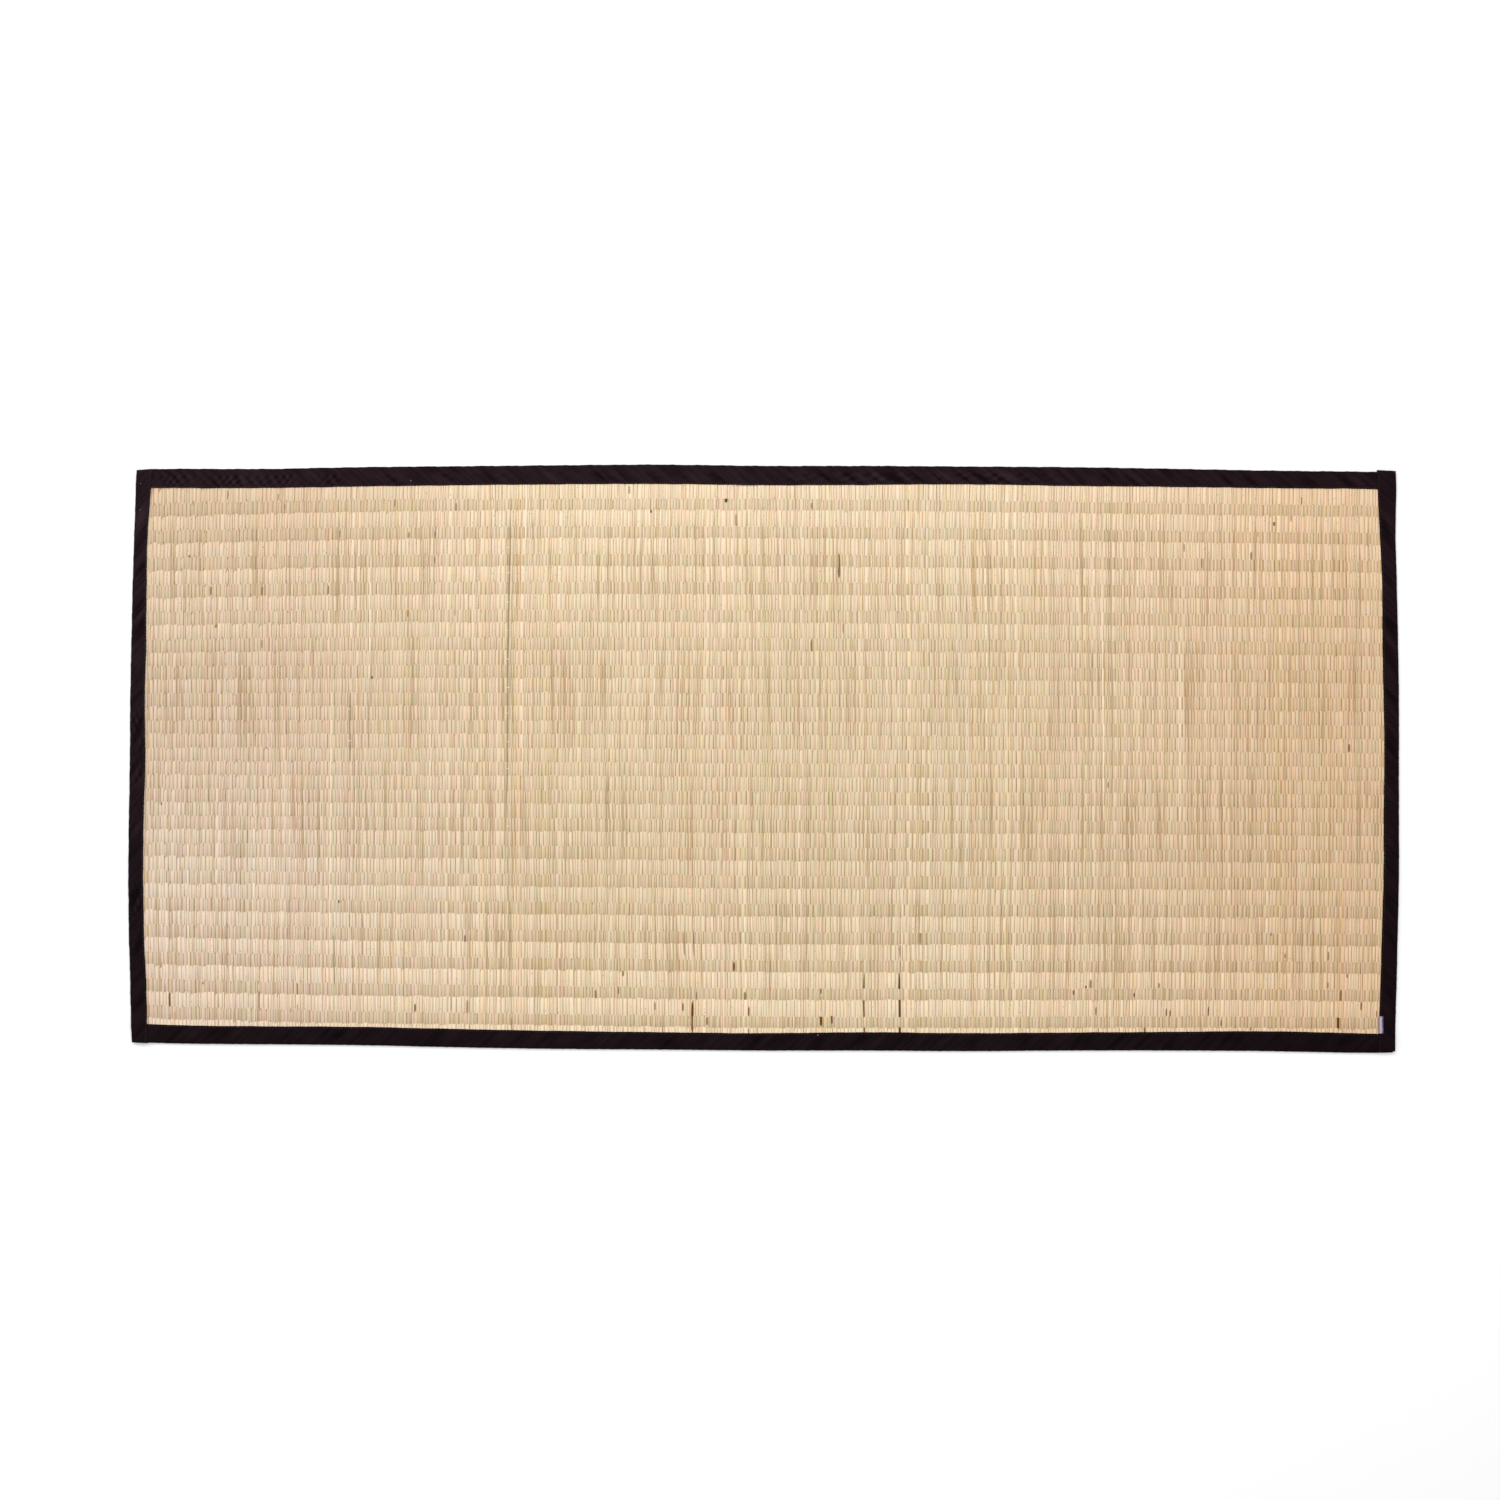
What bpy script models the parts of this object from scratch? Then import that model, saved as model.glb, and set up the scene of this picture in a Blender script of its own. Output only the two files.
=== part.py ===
# A woven rush floor mat with a cloth binding folded over and sewn along its four sides.
# The long side lies along X, the woven face looks up, and the underside rests on the floor at z = 0.
# The reeds run along Y, over and under cotton warps along X, so each warp shows as one rib.
import math
from collections import namedtuple

import bmesh
import bpy
import numpy as np

mm = 0.001

# The binding's folded cloth, and the space kept between neighbouring pieces
clothThick = 1.0 * mm
pieceGap = 0.3 * mm

# The woven sheet's height over a warp, beside it and between two warps
crestHeight = 3.5 * mm
shoulderHeight = 3.38 * mm
troughHeight = 2.9 * mm

# The woven sheet's thickness where one binding presses it, and where two do
tongueThick = 1.8 * mm
cornerThick = 1.4 * mm

# The ribs, numbered from the top edge
lastRib = 38
ribsToUndersideRow = 3

# How far the woven sheet and the long bindings stay inside a fold's outer edge
sheetInset = 3.5 * mm
sheetInsetLong = 2.4 * mm
longEndInset = 3.5 * mm

# Beside another binding a piece keeps its raised height this far, and is level again this far in
raisedReach = 1.0 * mm
levelReachLong = 13.0 * mm
levelReachShort = 15.0 * mm

# Steps along the pieces and around a fold
sheetColumns = 11
longSteps = 22
shortSteps = 14
foldSteps = 4

# The bare tab sewn over the inner edge of the right binding, near the bottom corner
TabSize = namedtuple("TabSize", "left right top bottom thick droop tipMargin")
tab = TabSize(970.5 * mm, 979.2 * mm, -407.5 * mm, -434.3 * mm, 1.0 * mm, 0.8 * mm, 0.5 * mm)

# Both edges of the long bindings at each place along X, in millimetres
LongEdge = namedtuple("LongEdge", "x topOuter topInner bottomInner bottomOuter")
longEdges = [
    LongEdge(-1000, 455.0, 428.0, -419.5, -446.5),
    LongEdge(-970, 456.5, 428.5, -421.5, -448.0),
    LongEdge(-800, 457.0, 428.5, -425.0, -450.5),
    LongEdge(-640, 460.0, 431.0, -426.0, -452.0),
    LongEdge(-480, 461.5, 433.0, -429.5, -455.5),
    LongEdge(-320, 463.0, 434.5, -432.5, -458.0),
    LongEdge(-160, 464.0, 435.0, -434.5, -459.0),
    LongEdge(0, 462.0, 433.0, -436.0, -460.5),
    LongEdge(160, 462.0, 433.5, -434.5, -460.5),
    LongEdge(320, 461.0, 434.5, -436.0, -461.5),
    LongEdge(480, 460.0, 432.0, -435.0, -460.5),
    LongEdge(640, 457.5, 430.5, -434.0, -460.5),
    LongEdge(800, 454.5, 428.5, -433.0, -461.5),
    LongEdge(970, 452.5, 427.0, -437.0, -464.0),
    LongEdge(1000, 452.0, 426.5, -437.5, -463.5),
]

# Both edges of the short bindings at each place along Y, in millimetres
ShortEdge = namedtuple("ShortEdge", "y leftOuter leftInner rightInner rightOuter")
shortEdges = [
    ShortEdge(-466, -996.0, -971.5, 972.0, 997.5),
    ShortEdge(-445, -998.0, -973.0, 972.5, 997.5),
    ShortEdge(-370, -1000.0, -975.0, 975.5, 999.5),
    ShortEdge(-280, -1002.5, -979.0, 978.0, 1001.5),
    ShortEdge(-190, -1003.5, -980.5, 981.0, 1003.5),
    ShortEdge(-90, -1002.5, -979.5, 981.0, 1003.5),
    ShortEdge(0, -1001.0, -977.0, 982.0, 1003.5),
    ShortEdge(90, -1000.5, -978.0, 981.0, 1003.5),
    ShortEdge(190, -998.5, -975.5, 979.0, 1002.0),
    ShortEdge(280, -996.5, -975.0, 978.5, 1000.0),
    ShortEdge(370, -993.5, -972.5, 974.0, 998.0),
    ShortEdge(440, -991.0, -966.5, 971.0, 999.0),
    ShortEdge(458, -990.0, -965.5, 970.5, 998.0),
]

# The first and the last rib's centre line, which bow with the long edges, in millimetres
RibLine = namedtuple("RibLine", "x first last")
ribLines = [
    RibLine(-1000, 412.5, -400.5),
    RibLine(-670, 420.0, -408.5),
    RibLine(-340, 423.0, -413.0),
    RibLine(-20, 423.0, -417.0),
    RibLine(300, 420.5, -417.5),
    RibLine(610, 416.5, -417.0),
    RibLine(820, 413.5, -417.5),
    RibLine(1000, 411.5, -419.5),
]

# Where each end of the short bindings stops, at its outer fold and at its inner edge, in millimetres
BindingEnd = namedtuple("BindingEnd", "side atOuter atInner")
topEnds = [BindingEnd("left", 455.0, 457.0), BindingEnd("right", 453.5, 455.0)]
bottomEnds = [BindingEnd("left", -448.5, -450.0), BindingEnd("right", -462.5, -464.5)]

# Heights that follow from the thicknesses: the raised ones are at the corners, under the short bindings
tongueLow = clothThick + pieceGap
tongueHigh = tongueLow + tongueThick
bindingHigh = tongueHigh + pieceGap + clothThick
longLow = clothThick + pieceGap
cornerLow = longLow + clothThick + pieceGap
cornerHigh = cornerLow + cornerThick
longHigh = cornerHigh + pieceGap + clothThick
shortHigh = longHigh + pieceGap + clothThick

Look = namedtuple("Look", "colour roughness")
strawLook = Look((0.68, 0.51, 0.32, 1.0), 0.62)
bindingLook = Look((0.015, 0.010, 0.012, 1.0), 0.88)
tabLook = Look((0.42, 0.33, 0.55, 1.0), 0.70)


def clearScene():
    for item in list(bpy.data.objects):
        bpy.data.objects.remove(item, do_unlink=True)


def material(name, look):
    made = bpy.data.materials.new(name)
    made.use_nodes = True
    shader = made.node_tree.nodes["Principled BSDF"]
    shader.inputs["Base Color"].default_value = look.colour
    shader.inputs["Roughness"].default_value = look.roughness
    shader.inputs["Metallic"].default_value = 0.0
    made.diffuse_color = look.colour
    return made


# A smooth curve, in metres, through one column of a table that is in millimetres
def smoothLine(rows, along, across):
    places = np.array([getattr(row, along) for row in rows]) * mm
    values = np.array([getattr(row, across) for row in rows]) * mm
    slopes = np.gradient(values, places)

    def read(place):
        place = min(max(place, places[0]), places[-1])
        i = int(np.clip(np.searchsorted(places, place) - 1, 0, len(places) - 2))
        span = places[i + 1] - places[i]
        t = (place - places[i]) / span
        blend = t * t * (3 - 2 * t)
        leaving = t * (1 - t) * (1 - t) * span * slopes[i]
        arriving = t * t * (t - 1) * span * slopes[i + 1]
        return float(values[i] + blend * (values[i + 1] - values[i]) + leaving + arriving)

    return read


longLine = {name: smoothLine(longEdges, "x", name) for name in LongEdge._fields[1:]}
shortLine = {name: smoothLine(shortEdges, "y", name) for name in ShortEdge._fields[1:]}
ribLine = {name: smoothLine(ribLines, "x", name) for name in RibLine._fields[1:]}


def endOf(ends, side):
    return next(end for end in ends if end.side == side)


# 1 beside the other binding, falling to 0 further in
def raisedShare(distance, levelReach):
    return float(np.clip((levelReach - distance) / (levelReach - raisedReach), 0, 1))


# An object whose closed mesh is given by its points and faces
def solid(name, points, faces, look):
    mesh = bpy.data.meshes.new(name)
    mesh.from_pydata([tuple(p) for p in points], [], faces)
    shape = bmesh.new()
    shape.from_mesh(mesh)
    bmesh.ops.recalc_face_normals(shape, faces=shape.faces)
    shape.to_mesh(mesh)
    shape.free()
    mesh.materials.append(look)
    mesh.shade_smooth()
    mesh.set_sharp_from_angle(angle=math.radians(40))
    item = bpy.data.objects.new(name, mesh)
    bpy.context.scene.collection.objects.link(item)
    return item


# The folded tape in cross-section: (distance in from the fold's outer edge, height) along its
# outer face and along its inner face, from the tip of the lower leg to the tip of the upper one
def foldedTape(width, low, high):
    radius = (high - low) / 2
    middle = (high + low) / 2
    turns = [math.radians(270 - 180 * i / foldSteps) for i in range(foldSteps + 1)]
    outer = [(radius + radius * math.cos(a), middle + radius * math.sin(a)) for a in turns]
    hollow = radius - clothThick
    inner = [(radius + hollow * math.cos(a), middle + hollow * math.sin(a)) for a in turns]
    outer = [(width, low)] + outer + [(width, high)]
    inner = [(width, low + clothThick)] + inner + [(width, high - clothThick)]
    return outer, inner


# A tape lofted through its stations, each a pair of equally long rows of points
def loftTape(name, stations, look):
    half = len(stations[0][0])
    ring = 2 * half
    points = [p for outer, inner in stations for p in outer + inner[::-1]]
    faces = []
    for s in range(len(stations) - 1):
        for i in range(ring):
            j = (i + 1) % ring
            faces.append((s * ring + i, s * ring + j, (s + 1) * ring + j, (s + 1) * ring + i))
    for s in (0, len(stations) - 1):
        for i in range(half - 1):
            mate = ring - 1 - i
            faces.append((s * ring + i, s * ring + i + 1, s * ring + mate - 1, s * ring + mate))
    return solid(name, points, faces, look)


# A long binding, raised at both ends where the short bindings wrap around it
def longBinding(side, look):
    outerLine = longLine[side + "Outer"]
    innerLine = longLine[side + "Inner"]
    ends = []
    for name, inward in (("left", 1), ("right", -1)):
        endX = shortLine[name + "Outer"](outerLine(0))
        outerX = shortLine[name + "Outer"](outerLine(endX))
        innerX = shortLine[name + "Inner"](innerLine(endX))
        ends.append([outerX + inward * longEndInset, innerX + inward * raisedReach, innerX + inward * levelReachLong])
    middle = list(np.linspace(ends[0][-1], ends[1][-1], longSteps + 1)[1:-1])
    stations = []
    for x in ends[0] + middle + ends[1][::-1]:
        distance = min(x - ends[0][-1], ends[1][-1] - x) + levelReachLong
        share = raisedShare(distance, levelReachLong)
        outerY = outerLine(x)
        width = abs(innerLine(x) - outerY)
        inward = math.copysign(1, innerLine(x) - outerY)
        high = bindingHigh + (longHigh - bindingHigh) * share
        outer, inner = foldedTape(width, longLow * share, high)
        stations.append([[(x, outerY + inward * u, z) for u, z in path] for path in (outer, inner)])
    return loftTape("binding_" + side, stations, look)


# The height of a short binding's top face at y
def shortTop(side, y):
    x = shortLine[side + "Inner"](y)
    distance = min(longLine["topInner"](x) - y, y - longLine["bottomInner"](x))
    share = raisedShare(distance, levelReachShort)
    return bindingHigh + (shortHigh - bindingHigh) * share


# A short binding, which wraps around the ends of both long ones
def shortBinding(side, look):
    outerLine = shortLine[side + "Outer"]
    innerLine = shortLine[side + "Inner"]
    edgeX = innerLine(0)
    topEnd = endOf(topEnds, side)
    bottomEnd = endOf(bottomEnds, side)
    topEdge = longLine["topInner"](edgeX)
    bottomEdge = longLine["bottomInner"](edgeX)
    upper = [topEdge - levelReachShort, topEdge - raisedReach]
    lower = [bottomEdge + raisedReach, bottomEdge + levelReachShort]
    middle = list(np.linspace(lower[-1], upper[0], shortSteps + 1)[1:-1])
    rows = [(y, y) for y in lower + middle + upper]
    rows.insert(0, (bottomEnd.atOuter * mm, bottomEnd.atInner * mm))
    rows.append((topEnd.atOuter * mm, topEnd.atInner * mm))
    stations = []
    for atOuter, atInner in rows:
        y = (atOuter + atInner) / 2
        outerX = outerLine(y)
        width = abs(innerLine(y) - outerX)
        inward = math.copysign(1, innerLine(y) - outerX)
        skew = (atInner - atOuter) / width
        outer, inner = foldedTape(width, 0.0, shortTop(side, y))
        station = [[(outerX + inward * u, atOuter + skew * u, z) for u, z in path] for path in (outer, inner)]
        stations.append(station)
    return loftTape("binding_" + side, stations, look)


# One line of the woven sheet along X: its y at an x, whether a long binding presses it, its height
SheetRow = namedtuple("SheetRow", "yAt pressed height")


def sheetRows():
    def ribY(turn):
        return lambda x: ribLine["first"](x) + (ribLine["last"](x) - ribLine["first"](x)) * turn / lastRib

    rows = [
        SheetRow(lambda x: longLine["topOuter"](x) - sheetInsetLong, True, tongueHigh),
        SheetRow(lambda x: longLine["topInner"](x) - raisedReach, True, tongueHigh),
    ]
    heights = [crestHeight, shoulderHeight, troughHeight, shoulderHeight]
    for quarter in range(-1, 4 * lastRib + 3):
        rows.append(SheetRow(ribY(quarter / 4), False, heights[quarter % 4]))
    rows.append(SheetRow(lambda x: longLine["bottomInner"](x) + raisedReach, True, tongueHigh))
    rows.append(SheetRow(lambda x: longLine["bottomOuter"](x) + sheetInsetLong, True, tongueHigh))
    return rows


# One line of the woven sheet along Y: its x at a y, and whether a short binding presses it
SheetColumn = namedtuple("SheetColumn", "xAt pressed")


def sheetColumnLines():
    def beside(name, offset):
        return lambda y: shortLine[name](y) + offset

    left = [
        SheetColumn(beside("leftOuter", sheetInset), True),
        SheetColumn(beside("leftInner", raisedReach), True),
        SheetColumn(beside("leftInner", levelReachLong), False),
    ]
    right = [
        SheetColumn(beside("rightInner", -levelReachLong), False),
        SheetColumn(beside("rightInner", -raisedReach), True),
        SheetColumn(beside("rightOuter", -sheetInset), True),
    ]
    inside = []
    for i in range(1, sheetColumns):
        share = i / sheetColumns
        start = left[-1].xAt(0)
        place = start + (right[0].xAt(0) - start) * share
        inside.append(SheetColumn(lambda y, place=place: place, False))
    return left + inside + right


# The woven sheet: ribbed on top, flat below, thinner under the bindings
def rushPanel(look):
    rows = sheetRows()
    columns = sheetColumnLines()
    pressedRows = 2
    first = pressedRows
    last = len(rows) - pressedRows - 1
    step = 4 * ribsToUndersideRow
    underRows = list(range(pressedRows)) + list(range(first, last, step)) + list(range(last, len(rows)))
    points = []
    top = {}
    under = {}
    for c, column in enumerate(columns):
        for r, row in enumerate(rows):
            y = row.yAt(column.xAt(0))
            x = column.xAt(y)
            y = row.yAt(x)
            pressings = int(column.pressed) + int(row.pressed)
            low = [0.0, tongueLow, cornerLow][pressings]
            high = [row.height, tongueHigh, cornerHigh][pressings]
            top[c, r] = len(points)
            points.append((x, y, high))
            if r in underRows:
                under[c, r] = len(points)
                points.append((x, y, low))
    faces = []
    for c in range(len(columns) - 1):
        for r in range(len(rows) - 1):
            faces.append((top[c, r], top[c + 1, r], top[c + 1, r + 1], top[c, r + 1]))
        for a, b in zip(underRows, underRows[1:]):
            faces.append((under[c, a], under[c, b], under[c + 1, b], under[c + 1, a]))
        for r in (0, len(rows) - 1):
            faces.append((top[c, r], under[c, r], under[c + 1, r], top[c + 1, r]))
    for c in (0, len(columns) - 1):
        for a, b in zip(underRows, underRows[1:]):
            for r in range(a, b):
                faces.append((under[c, a], top[c, r], top[c, r + 1]))
            faces.append((under[c, a], top[c, b], under[c, b]))
    return solid("rush_panel", points, faces, look)


# The small tab, lying over the right binding's inner edge and drooping towards the reeds
def sideLabel(look):
    rise = longLine["bottomInner"](tab.left) + levelReachShort
    stations = []
    for y in (tab.bottom, rise, tab.top):
        seat = shortTop("right", y) + pieceGap
        tip = shortLine["rightInner"](y) - tab.tipMargin
        across = [(tab.left, seat - tab.droop), (tip, seat), (tab.right, seat)]
        under = [(x, y, z) for x, z in across]
        over = [(x, y, z + tab.thick) for x, z in across]
        stations.append([under, over])
    return loftTape("side_label", stations, look)


# Shifts everything so that the middle of the whole mat's box lies on the Z axis
def centreOnOrigin(items):
    corners = np.array([v.co[:] for item in items for v in item.data.vertices])
    middle = (corners.min(axis=0) + corners.max(axis=0)) / 2
    for item in items:
        for v in item.data.vertices:
            v.co.x -= middle[0]
            v.co.y -= middle[1]


clearScene()
straw = material("straw", strawLook)
bindingCloth = material("binding_cloth", bindingLook)
tabCloth = material("label_cloth", tabLook)
pieces = [rushPanel(straw)]
pieces += [longBinding(side, bindingCloth) for side in ("top", "bottom")]
pieces += [shortBinding(side, bindingCloth) for side in ("left", "right")]
pieces.append(sideLabel(tabCloth))
centreOnOrigin(pieces)
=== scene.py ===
# Tatami mat: rush straws woven over cotton warps, with folded black tape sewn along its sides
import math
import bpy
import numpy as np
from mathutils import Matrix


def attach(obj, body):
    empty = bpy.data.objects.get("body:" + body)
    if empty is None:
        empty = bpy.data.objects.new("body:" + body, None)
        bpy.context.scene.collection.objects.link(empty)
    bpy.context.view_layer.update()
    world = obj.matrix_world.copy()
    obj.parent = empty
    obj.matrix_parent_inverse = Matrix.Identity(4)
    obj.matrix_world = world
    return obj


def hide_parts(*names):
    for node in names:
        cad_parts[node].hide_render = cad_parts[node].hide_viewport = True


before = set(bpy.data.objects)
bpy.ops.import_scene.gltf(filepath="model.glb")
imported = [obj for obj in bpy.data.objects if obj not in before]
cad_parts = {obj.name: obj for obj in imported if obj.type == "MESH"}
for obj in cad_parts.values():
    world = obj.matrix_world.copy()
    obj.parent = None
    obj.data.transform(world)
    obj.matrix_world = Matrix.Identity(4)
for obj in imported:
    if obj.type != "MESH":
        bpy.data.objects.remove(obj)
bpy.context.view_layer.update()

bpy.ops.object.select_all(action="DESELECT")

mm = 0.001
x, y, z = 0, 1, 2


# Rows of a table, each with its columns' names
def named(columns, rows):
    return [dict(zip(columns, row)) for row in rows]


# The photograph's scale, which places the camera and the marks on the straw
photo = {"pixels": 1500, "metresPerPixel": 0.00158, "matCentreX": 763.45, "matCentreY": 758.4}


def fromPhoto(px, py):
    scale = photo["metresPerPixel"]
    return (px - photo["matCentreX"]) * scale, (photo["matCentreY"] - py) * scale


# Camera, straight above the mat
camera = {"lens": 85, "sensor": 36, "matHeight": 2 * mm}


def makeCamera():
    middle = fromPhoto(photo["pixels"] / 2, photo["pixels"] / 2)
    across = photo["pixels"] * photo["metresPerPixel"]
    above = across * camera["lens"] / camera["sensor"] + camera["matHeight"]
    bpy.ops.object.camera_add(location=(middle[x], middle[y], above), rotation=(0, 0, 0))
    made = bpy.context.active_object
    made.name = "photoCamera"
    made.data.lens = camera["lens"]
    made.data.sensor_width = camera["sensor"]
    bpy.context.scene.camera = made


# Plain pale floor and soft studio light
studio = {
    "floorSize": 14.0, "floorDrop": 0.6 * mm, "floorColour": (0.93, 0.93, 0.93, 1), "floorRoughness": 0.9,
    "worldColour": (1.0, 1.0, 1.0, 1), "worldStrength": 0.58,
    "overheadPlace": (0.3, 0.9, 3.4), "overheadSize": 4.2, "overheadPower": 104,
    "sidePlace": (-3.2, 1.6, 1.7), "sideSize": 1.8, "sidePower": 52,
}


def makeStudio():
    bpy.ops.mesh.primitive_plane_add(size=studio["floorSize"], location=(0, 0, -studio["floorDrop"]))
    floor = bpy.context.active_object
    floor.name = "studioFloor"
    material, tree, asked = newMaterial("floorPaint")
    feed(tree, asked["Base Color"], studio["floorColour"])
    feed(tree, asked["Roughness"], studio["floorRoughness"])
    floor.data.materials.append(material)
    for name in ("overhead", "side"):
        place = studio[name + "Place"]
        bpy.ops.object.light_add(type="AREA", location=place)
        light = bpy.context.active_object
        light.name = name + "Light"
        light.data.size = studio[name + "Size"]
        light.data.energy = studio[name + "Power"]
        tilt = math.atan2(math.hypot(place[x], place[y]), place[z])
        light.rotation_euler = (tilt, 0, math.atan2(place[x], -place[y]))
    world = bpy.data.worlds.new("studioWorld")
    world.use_nodes = True
    background = world.node_tree.nodes["Background"]
    background.inputs["Color"].default_value = studio["worldColour"]
    background.inputs["Strength"].default_value = studio["worldStrength"]
    bpy.context.scene.world = world
    bpy.context.scene.view_settings.view_transform = "Standard"


# Short forms for building shader trees
def newMaterial(name):
    made = bpy.data.materials.new(name)
    made.use_nodes = True
    return made, made.node_tree, made.node_tree.nodes["Principled BSDF"].inputs


def node(tree, kind, values=None, **settings):
    made = tree.nodes.new(kind)
    for key, value in settings.items():
        setattr(made, key, value)
    for key, value in (values or {}).items():
        made.inputs[key].default_value = value
    return made


def feed(tree, socket, term):
    if isinstance(term, (int, float, tuple)):
        socket.default_value = term
    else:
        tree.links.new(term, socket)


def maths(tree, operation, *terms):
    made = node(tree, "ShaderNodeMath", operation=operation)
    for socket, term in zip(made.inputs, terms):
        feed(tree, socket, term)
    return made.outputs[0]


def times(tree, first, second):
    return maths(tree, "MULTIPLY", first, second)


# A term that goes from 0 to 1, turned into one that goes as far down as up, and added to a base
def centred(tree, term, amount, base):
    return maths(tree, "MULTIPLY_ADD", maths(tree, "SUBTRACT", term, 0.5), amount, base)


def mixColours(tree, share, first, second, blend="MIX"):
    made = node(tree, "ShaderNodeMix", data_type="RGBA", blend_type=blend)
    for i, term in ((0, share), (6, first), (7, second)):
        feed(tree, made.inputs[i], term)
    return made.outputs[2]


def tinted(tree, share, colour, tint):
    return mixColours(tree, share, colour, tint, "MULTIPLY")


def ramp(tree, term, low, high, toLow=0.0, toHigh=1.0):
    limits = {1: low, 2: high, 3: toLow, 4: toHigh}
    made = node(tree, "ShaderNodeMapRange", limits, interpolation_type="SMOOTHSTEP")
    feed(tree, made.inputs[0], term)
    return made.outputs[0]


def colourStops(tree, term, stops):
    low, high = stops[0][0], stops[-1][0]
    made = node(tree, "ShaderNodeValToRGB")
    elements = made.color_ramp.elements
    for _ in stops[2:]:
        elements.new(0.5)
    for element, (at, colour) in zip(elements, stops):
        element.position = (at - low) / (high - low)
    for element, (at, colour) in zip(elements, stops):
        element.color = colour + (1,)
    spread = node(tree, "ShaderNodeMapRange", {1: low, 2: high})
    feed(tree, spread.inputs[0], term)
    feed(tree, made.inputs[0], spread.outputs[0])
    return made.outputs[0]


def vector(tree, *terms):
    made = node(tree, "ShaderNodeCombineXYZ")
    for socket, term in zip(made.inputs, terms):
        feed(tree, socket, term)
    return made.outputs[0]


def noise(tree, place, scale, detail=2.0):
    made = node(tree, "ShaderNodeTexNoise")
    for name, term in (("Vector", place), ("Scale", scale), ("Detail", detail)):
        feed(tree, made.inputs[name], term)
    return made.outputs[0]


# Noise over a flat place: its scale each way, and which layer of it
def flatNoise(tree, across, along, stretch, detail=1.0):
    place = vector(tree, times(tree, across, stretch[0]), times(tree, along, stretch[1]), stretch[2])
    return noise(tree, place, 1.0, detail)


def parts(tree, place):
    made = node(tree, "ShaderNodeSeparateXYZ")
    feed(tree, made.inputs[0], place)
    return made.outputs


def attribute(tree, name):
    return node(tree, "ShaderNodeAttribute", attribute_name=name).outputs


def mapPlace(tree, name):
    return node(tree, "ShaderNodeUVMap", uv_map=name).outputs[0]


def objectPlace(tree):
    return node(tree, "ShaderNodeTexCoord").outputs["Object"]


def bumped(tree, height, distance, under=None):
    made = node(tree, "ShaderNodeBump", {"Distance": distance, "Strength": 1.0})
    feed(tree, made.inputs["Height"], height)
    if under:
        feed(tree, made.inputs["Normal"], under)
    return made.outputs[0]


# Shared effects are node groups, made once and placed in each material that needs them
def newGroup(name, inputs, outputs):
    group = bpy.data.node_groups.new(name, "ShaderNodeTree")
    for title, kind in inputs + outputs:
        way = "INPUT" if (title, kind) in inputs else "OUTPUT"
        group.interface.new_socket(name=title, in_out=way, socket_type="NodeSocket" + kind)
    return group, node(group, "NodeGroupInput").outputs, node(group, "NodeGroupOutput").inputs


def placeGroup(tree, name, **given):
    made = node(tree, "ShaderNodeGroup", node_tree=bpy.data.node_groups[name])
    for title, term in given.items():
        feed(tree, made.inputs[title], term)
    return made.outputs


# Plain woven cloth, as a height and as a shade that differs from thread to thread and is darker in the hollows
# between threads, which is painted shade
def makeClothWeave():
    inputs = [("Place", "Vector"), ("Threads", "Float"), ("Unevenness", "Float")]
    group, given, asked = newGroup("clothWeave", inputs, [("Height", "Float"), ("Shade", "Float")])
    scaled = node(group, "ShaderNodeVectorMath", operation="SCALE")
    feed(group, scaled.inputs[0], given["Place"])
    feed(group, scaled.inputs["Scale"], given["Threads"])
    along, across, _ = parts(group, scaled.outputs[0])
    overUnder = times(group, *(maths(group, "SINE", times(group, way, math.pi)) for way in (along, across)))
    threadRound = maths(group, "ABSOLUTE", overUnder)
    slubPlace = vector(group, times(group, along, 0.06), maths(group, "FLOOR", across), 0.0)
    uneven = times(group, noise(group, slubPlace, 1.0, 3.0), given["Unevenness"])
    height = maths(group, "MULTIPLY_ADD", overUnder, 0.35, threadRound)
    feed(group, asked["Height"], maths(group, "ADD", height, uneven))
    # Darker between threads, where the height is low: painted shade; the unevenness from thread to thread is
    # the threads' own tone
    feed(group, asked["Shade"], maths(group, "MULTIPLY_ADD", threadRound, 0.5, uneven))


# Spun yarn, paler where it is fluffy
def makeSpunYarn():
    inputs = [("Place", "Vector"), ("Scale", "Float"), ("Detail", "Float")]
    inputs += [("Dark", "Color"), ("Light", "Color")]
    group, given, asked = newGroup("spunYarn", inputs, [("Colour", "Color")])
    fluff = noise(group, given["Place"], given["Scale"], given["Detail"])
    feed(group, asked["Colour"], mixColours(group, fluff, given["Dark"], given["Light"]))


def yarnMaterial(name, look):
    material, tree, asked = newMaterial(name)
    scale, detail = look["fluff"]
    spun = placeGroup(tree, "spunYarn", Place=objectPlace(tree), Scale=scale, Detail=detail,
                      Dark=look["dark"], Light=look["light"])
    feed(tree, asked["Base Color"], spun["Colour"])
    feed(tree, asked["Roughness"], look["roughness"])
    return material


# Reading the frame's solids: each tape's edges and heights, and the ribs' places
def nodePoints(name):
    found = np.array([v.co[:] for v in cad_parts[name].data.vertices])
    return np.unique(np.round(found, 6), axis=0)


def smoothLine(places, values):
    order = np.argsort(places)
    places, values = np.array(places)[order], np.array(values)[order]
    slopes = np.gradient(values, places)

    def read(at):
        at = np.asarray(at, float)
        i = np.clip(np.searchsorted(places, at) - 1, 0, len(places) - 2)
        span = places[i + 1] - places[i]
        t = np.clip((at - places[i]) / span, 0, 1)
        rise = t * t * (3 - 2 * t) * (values[i + 1] - values[i])
        bend = t * (1 - t) ** 2 * span * slopes[i] + t * t * (t - 1) * span * slopes[i + 1]
        before = np.minimum(at - places[0], 0) * slopes[0]
        after = np.maximum(at - places[-1], 0) * slopes[-1]
        return values[i] + rise + bend + before + after

    return read


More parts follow.
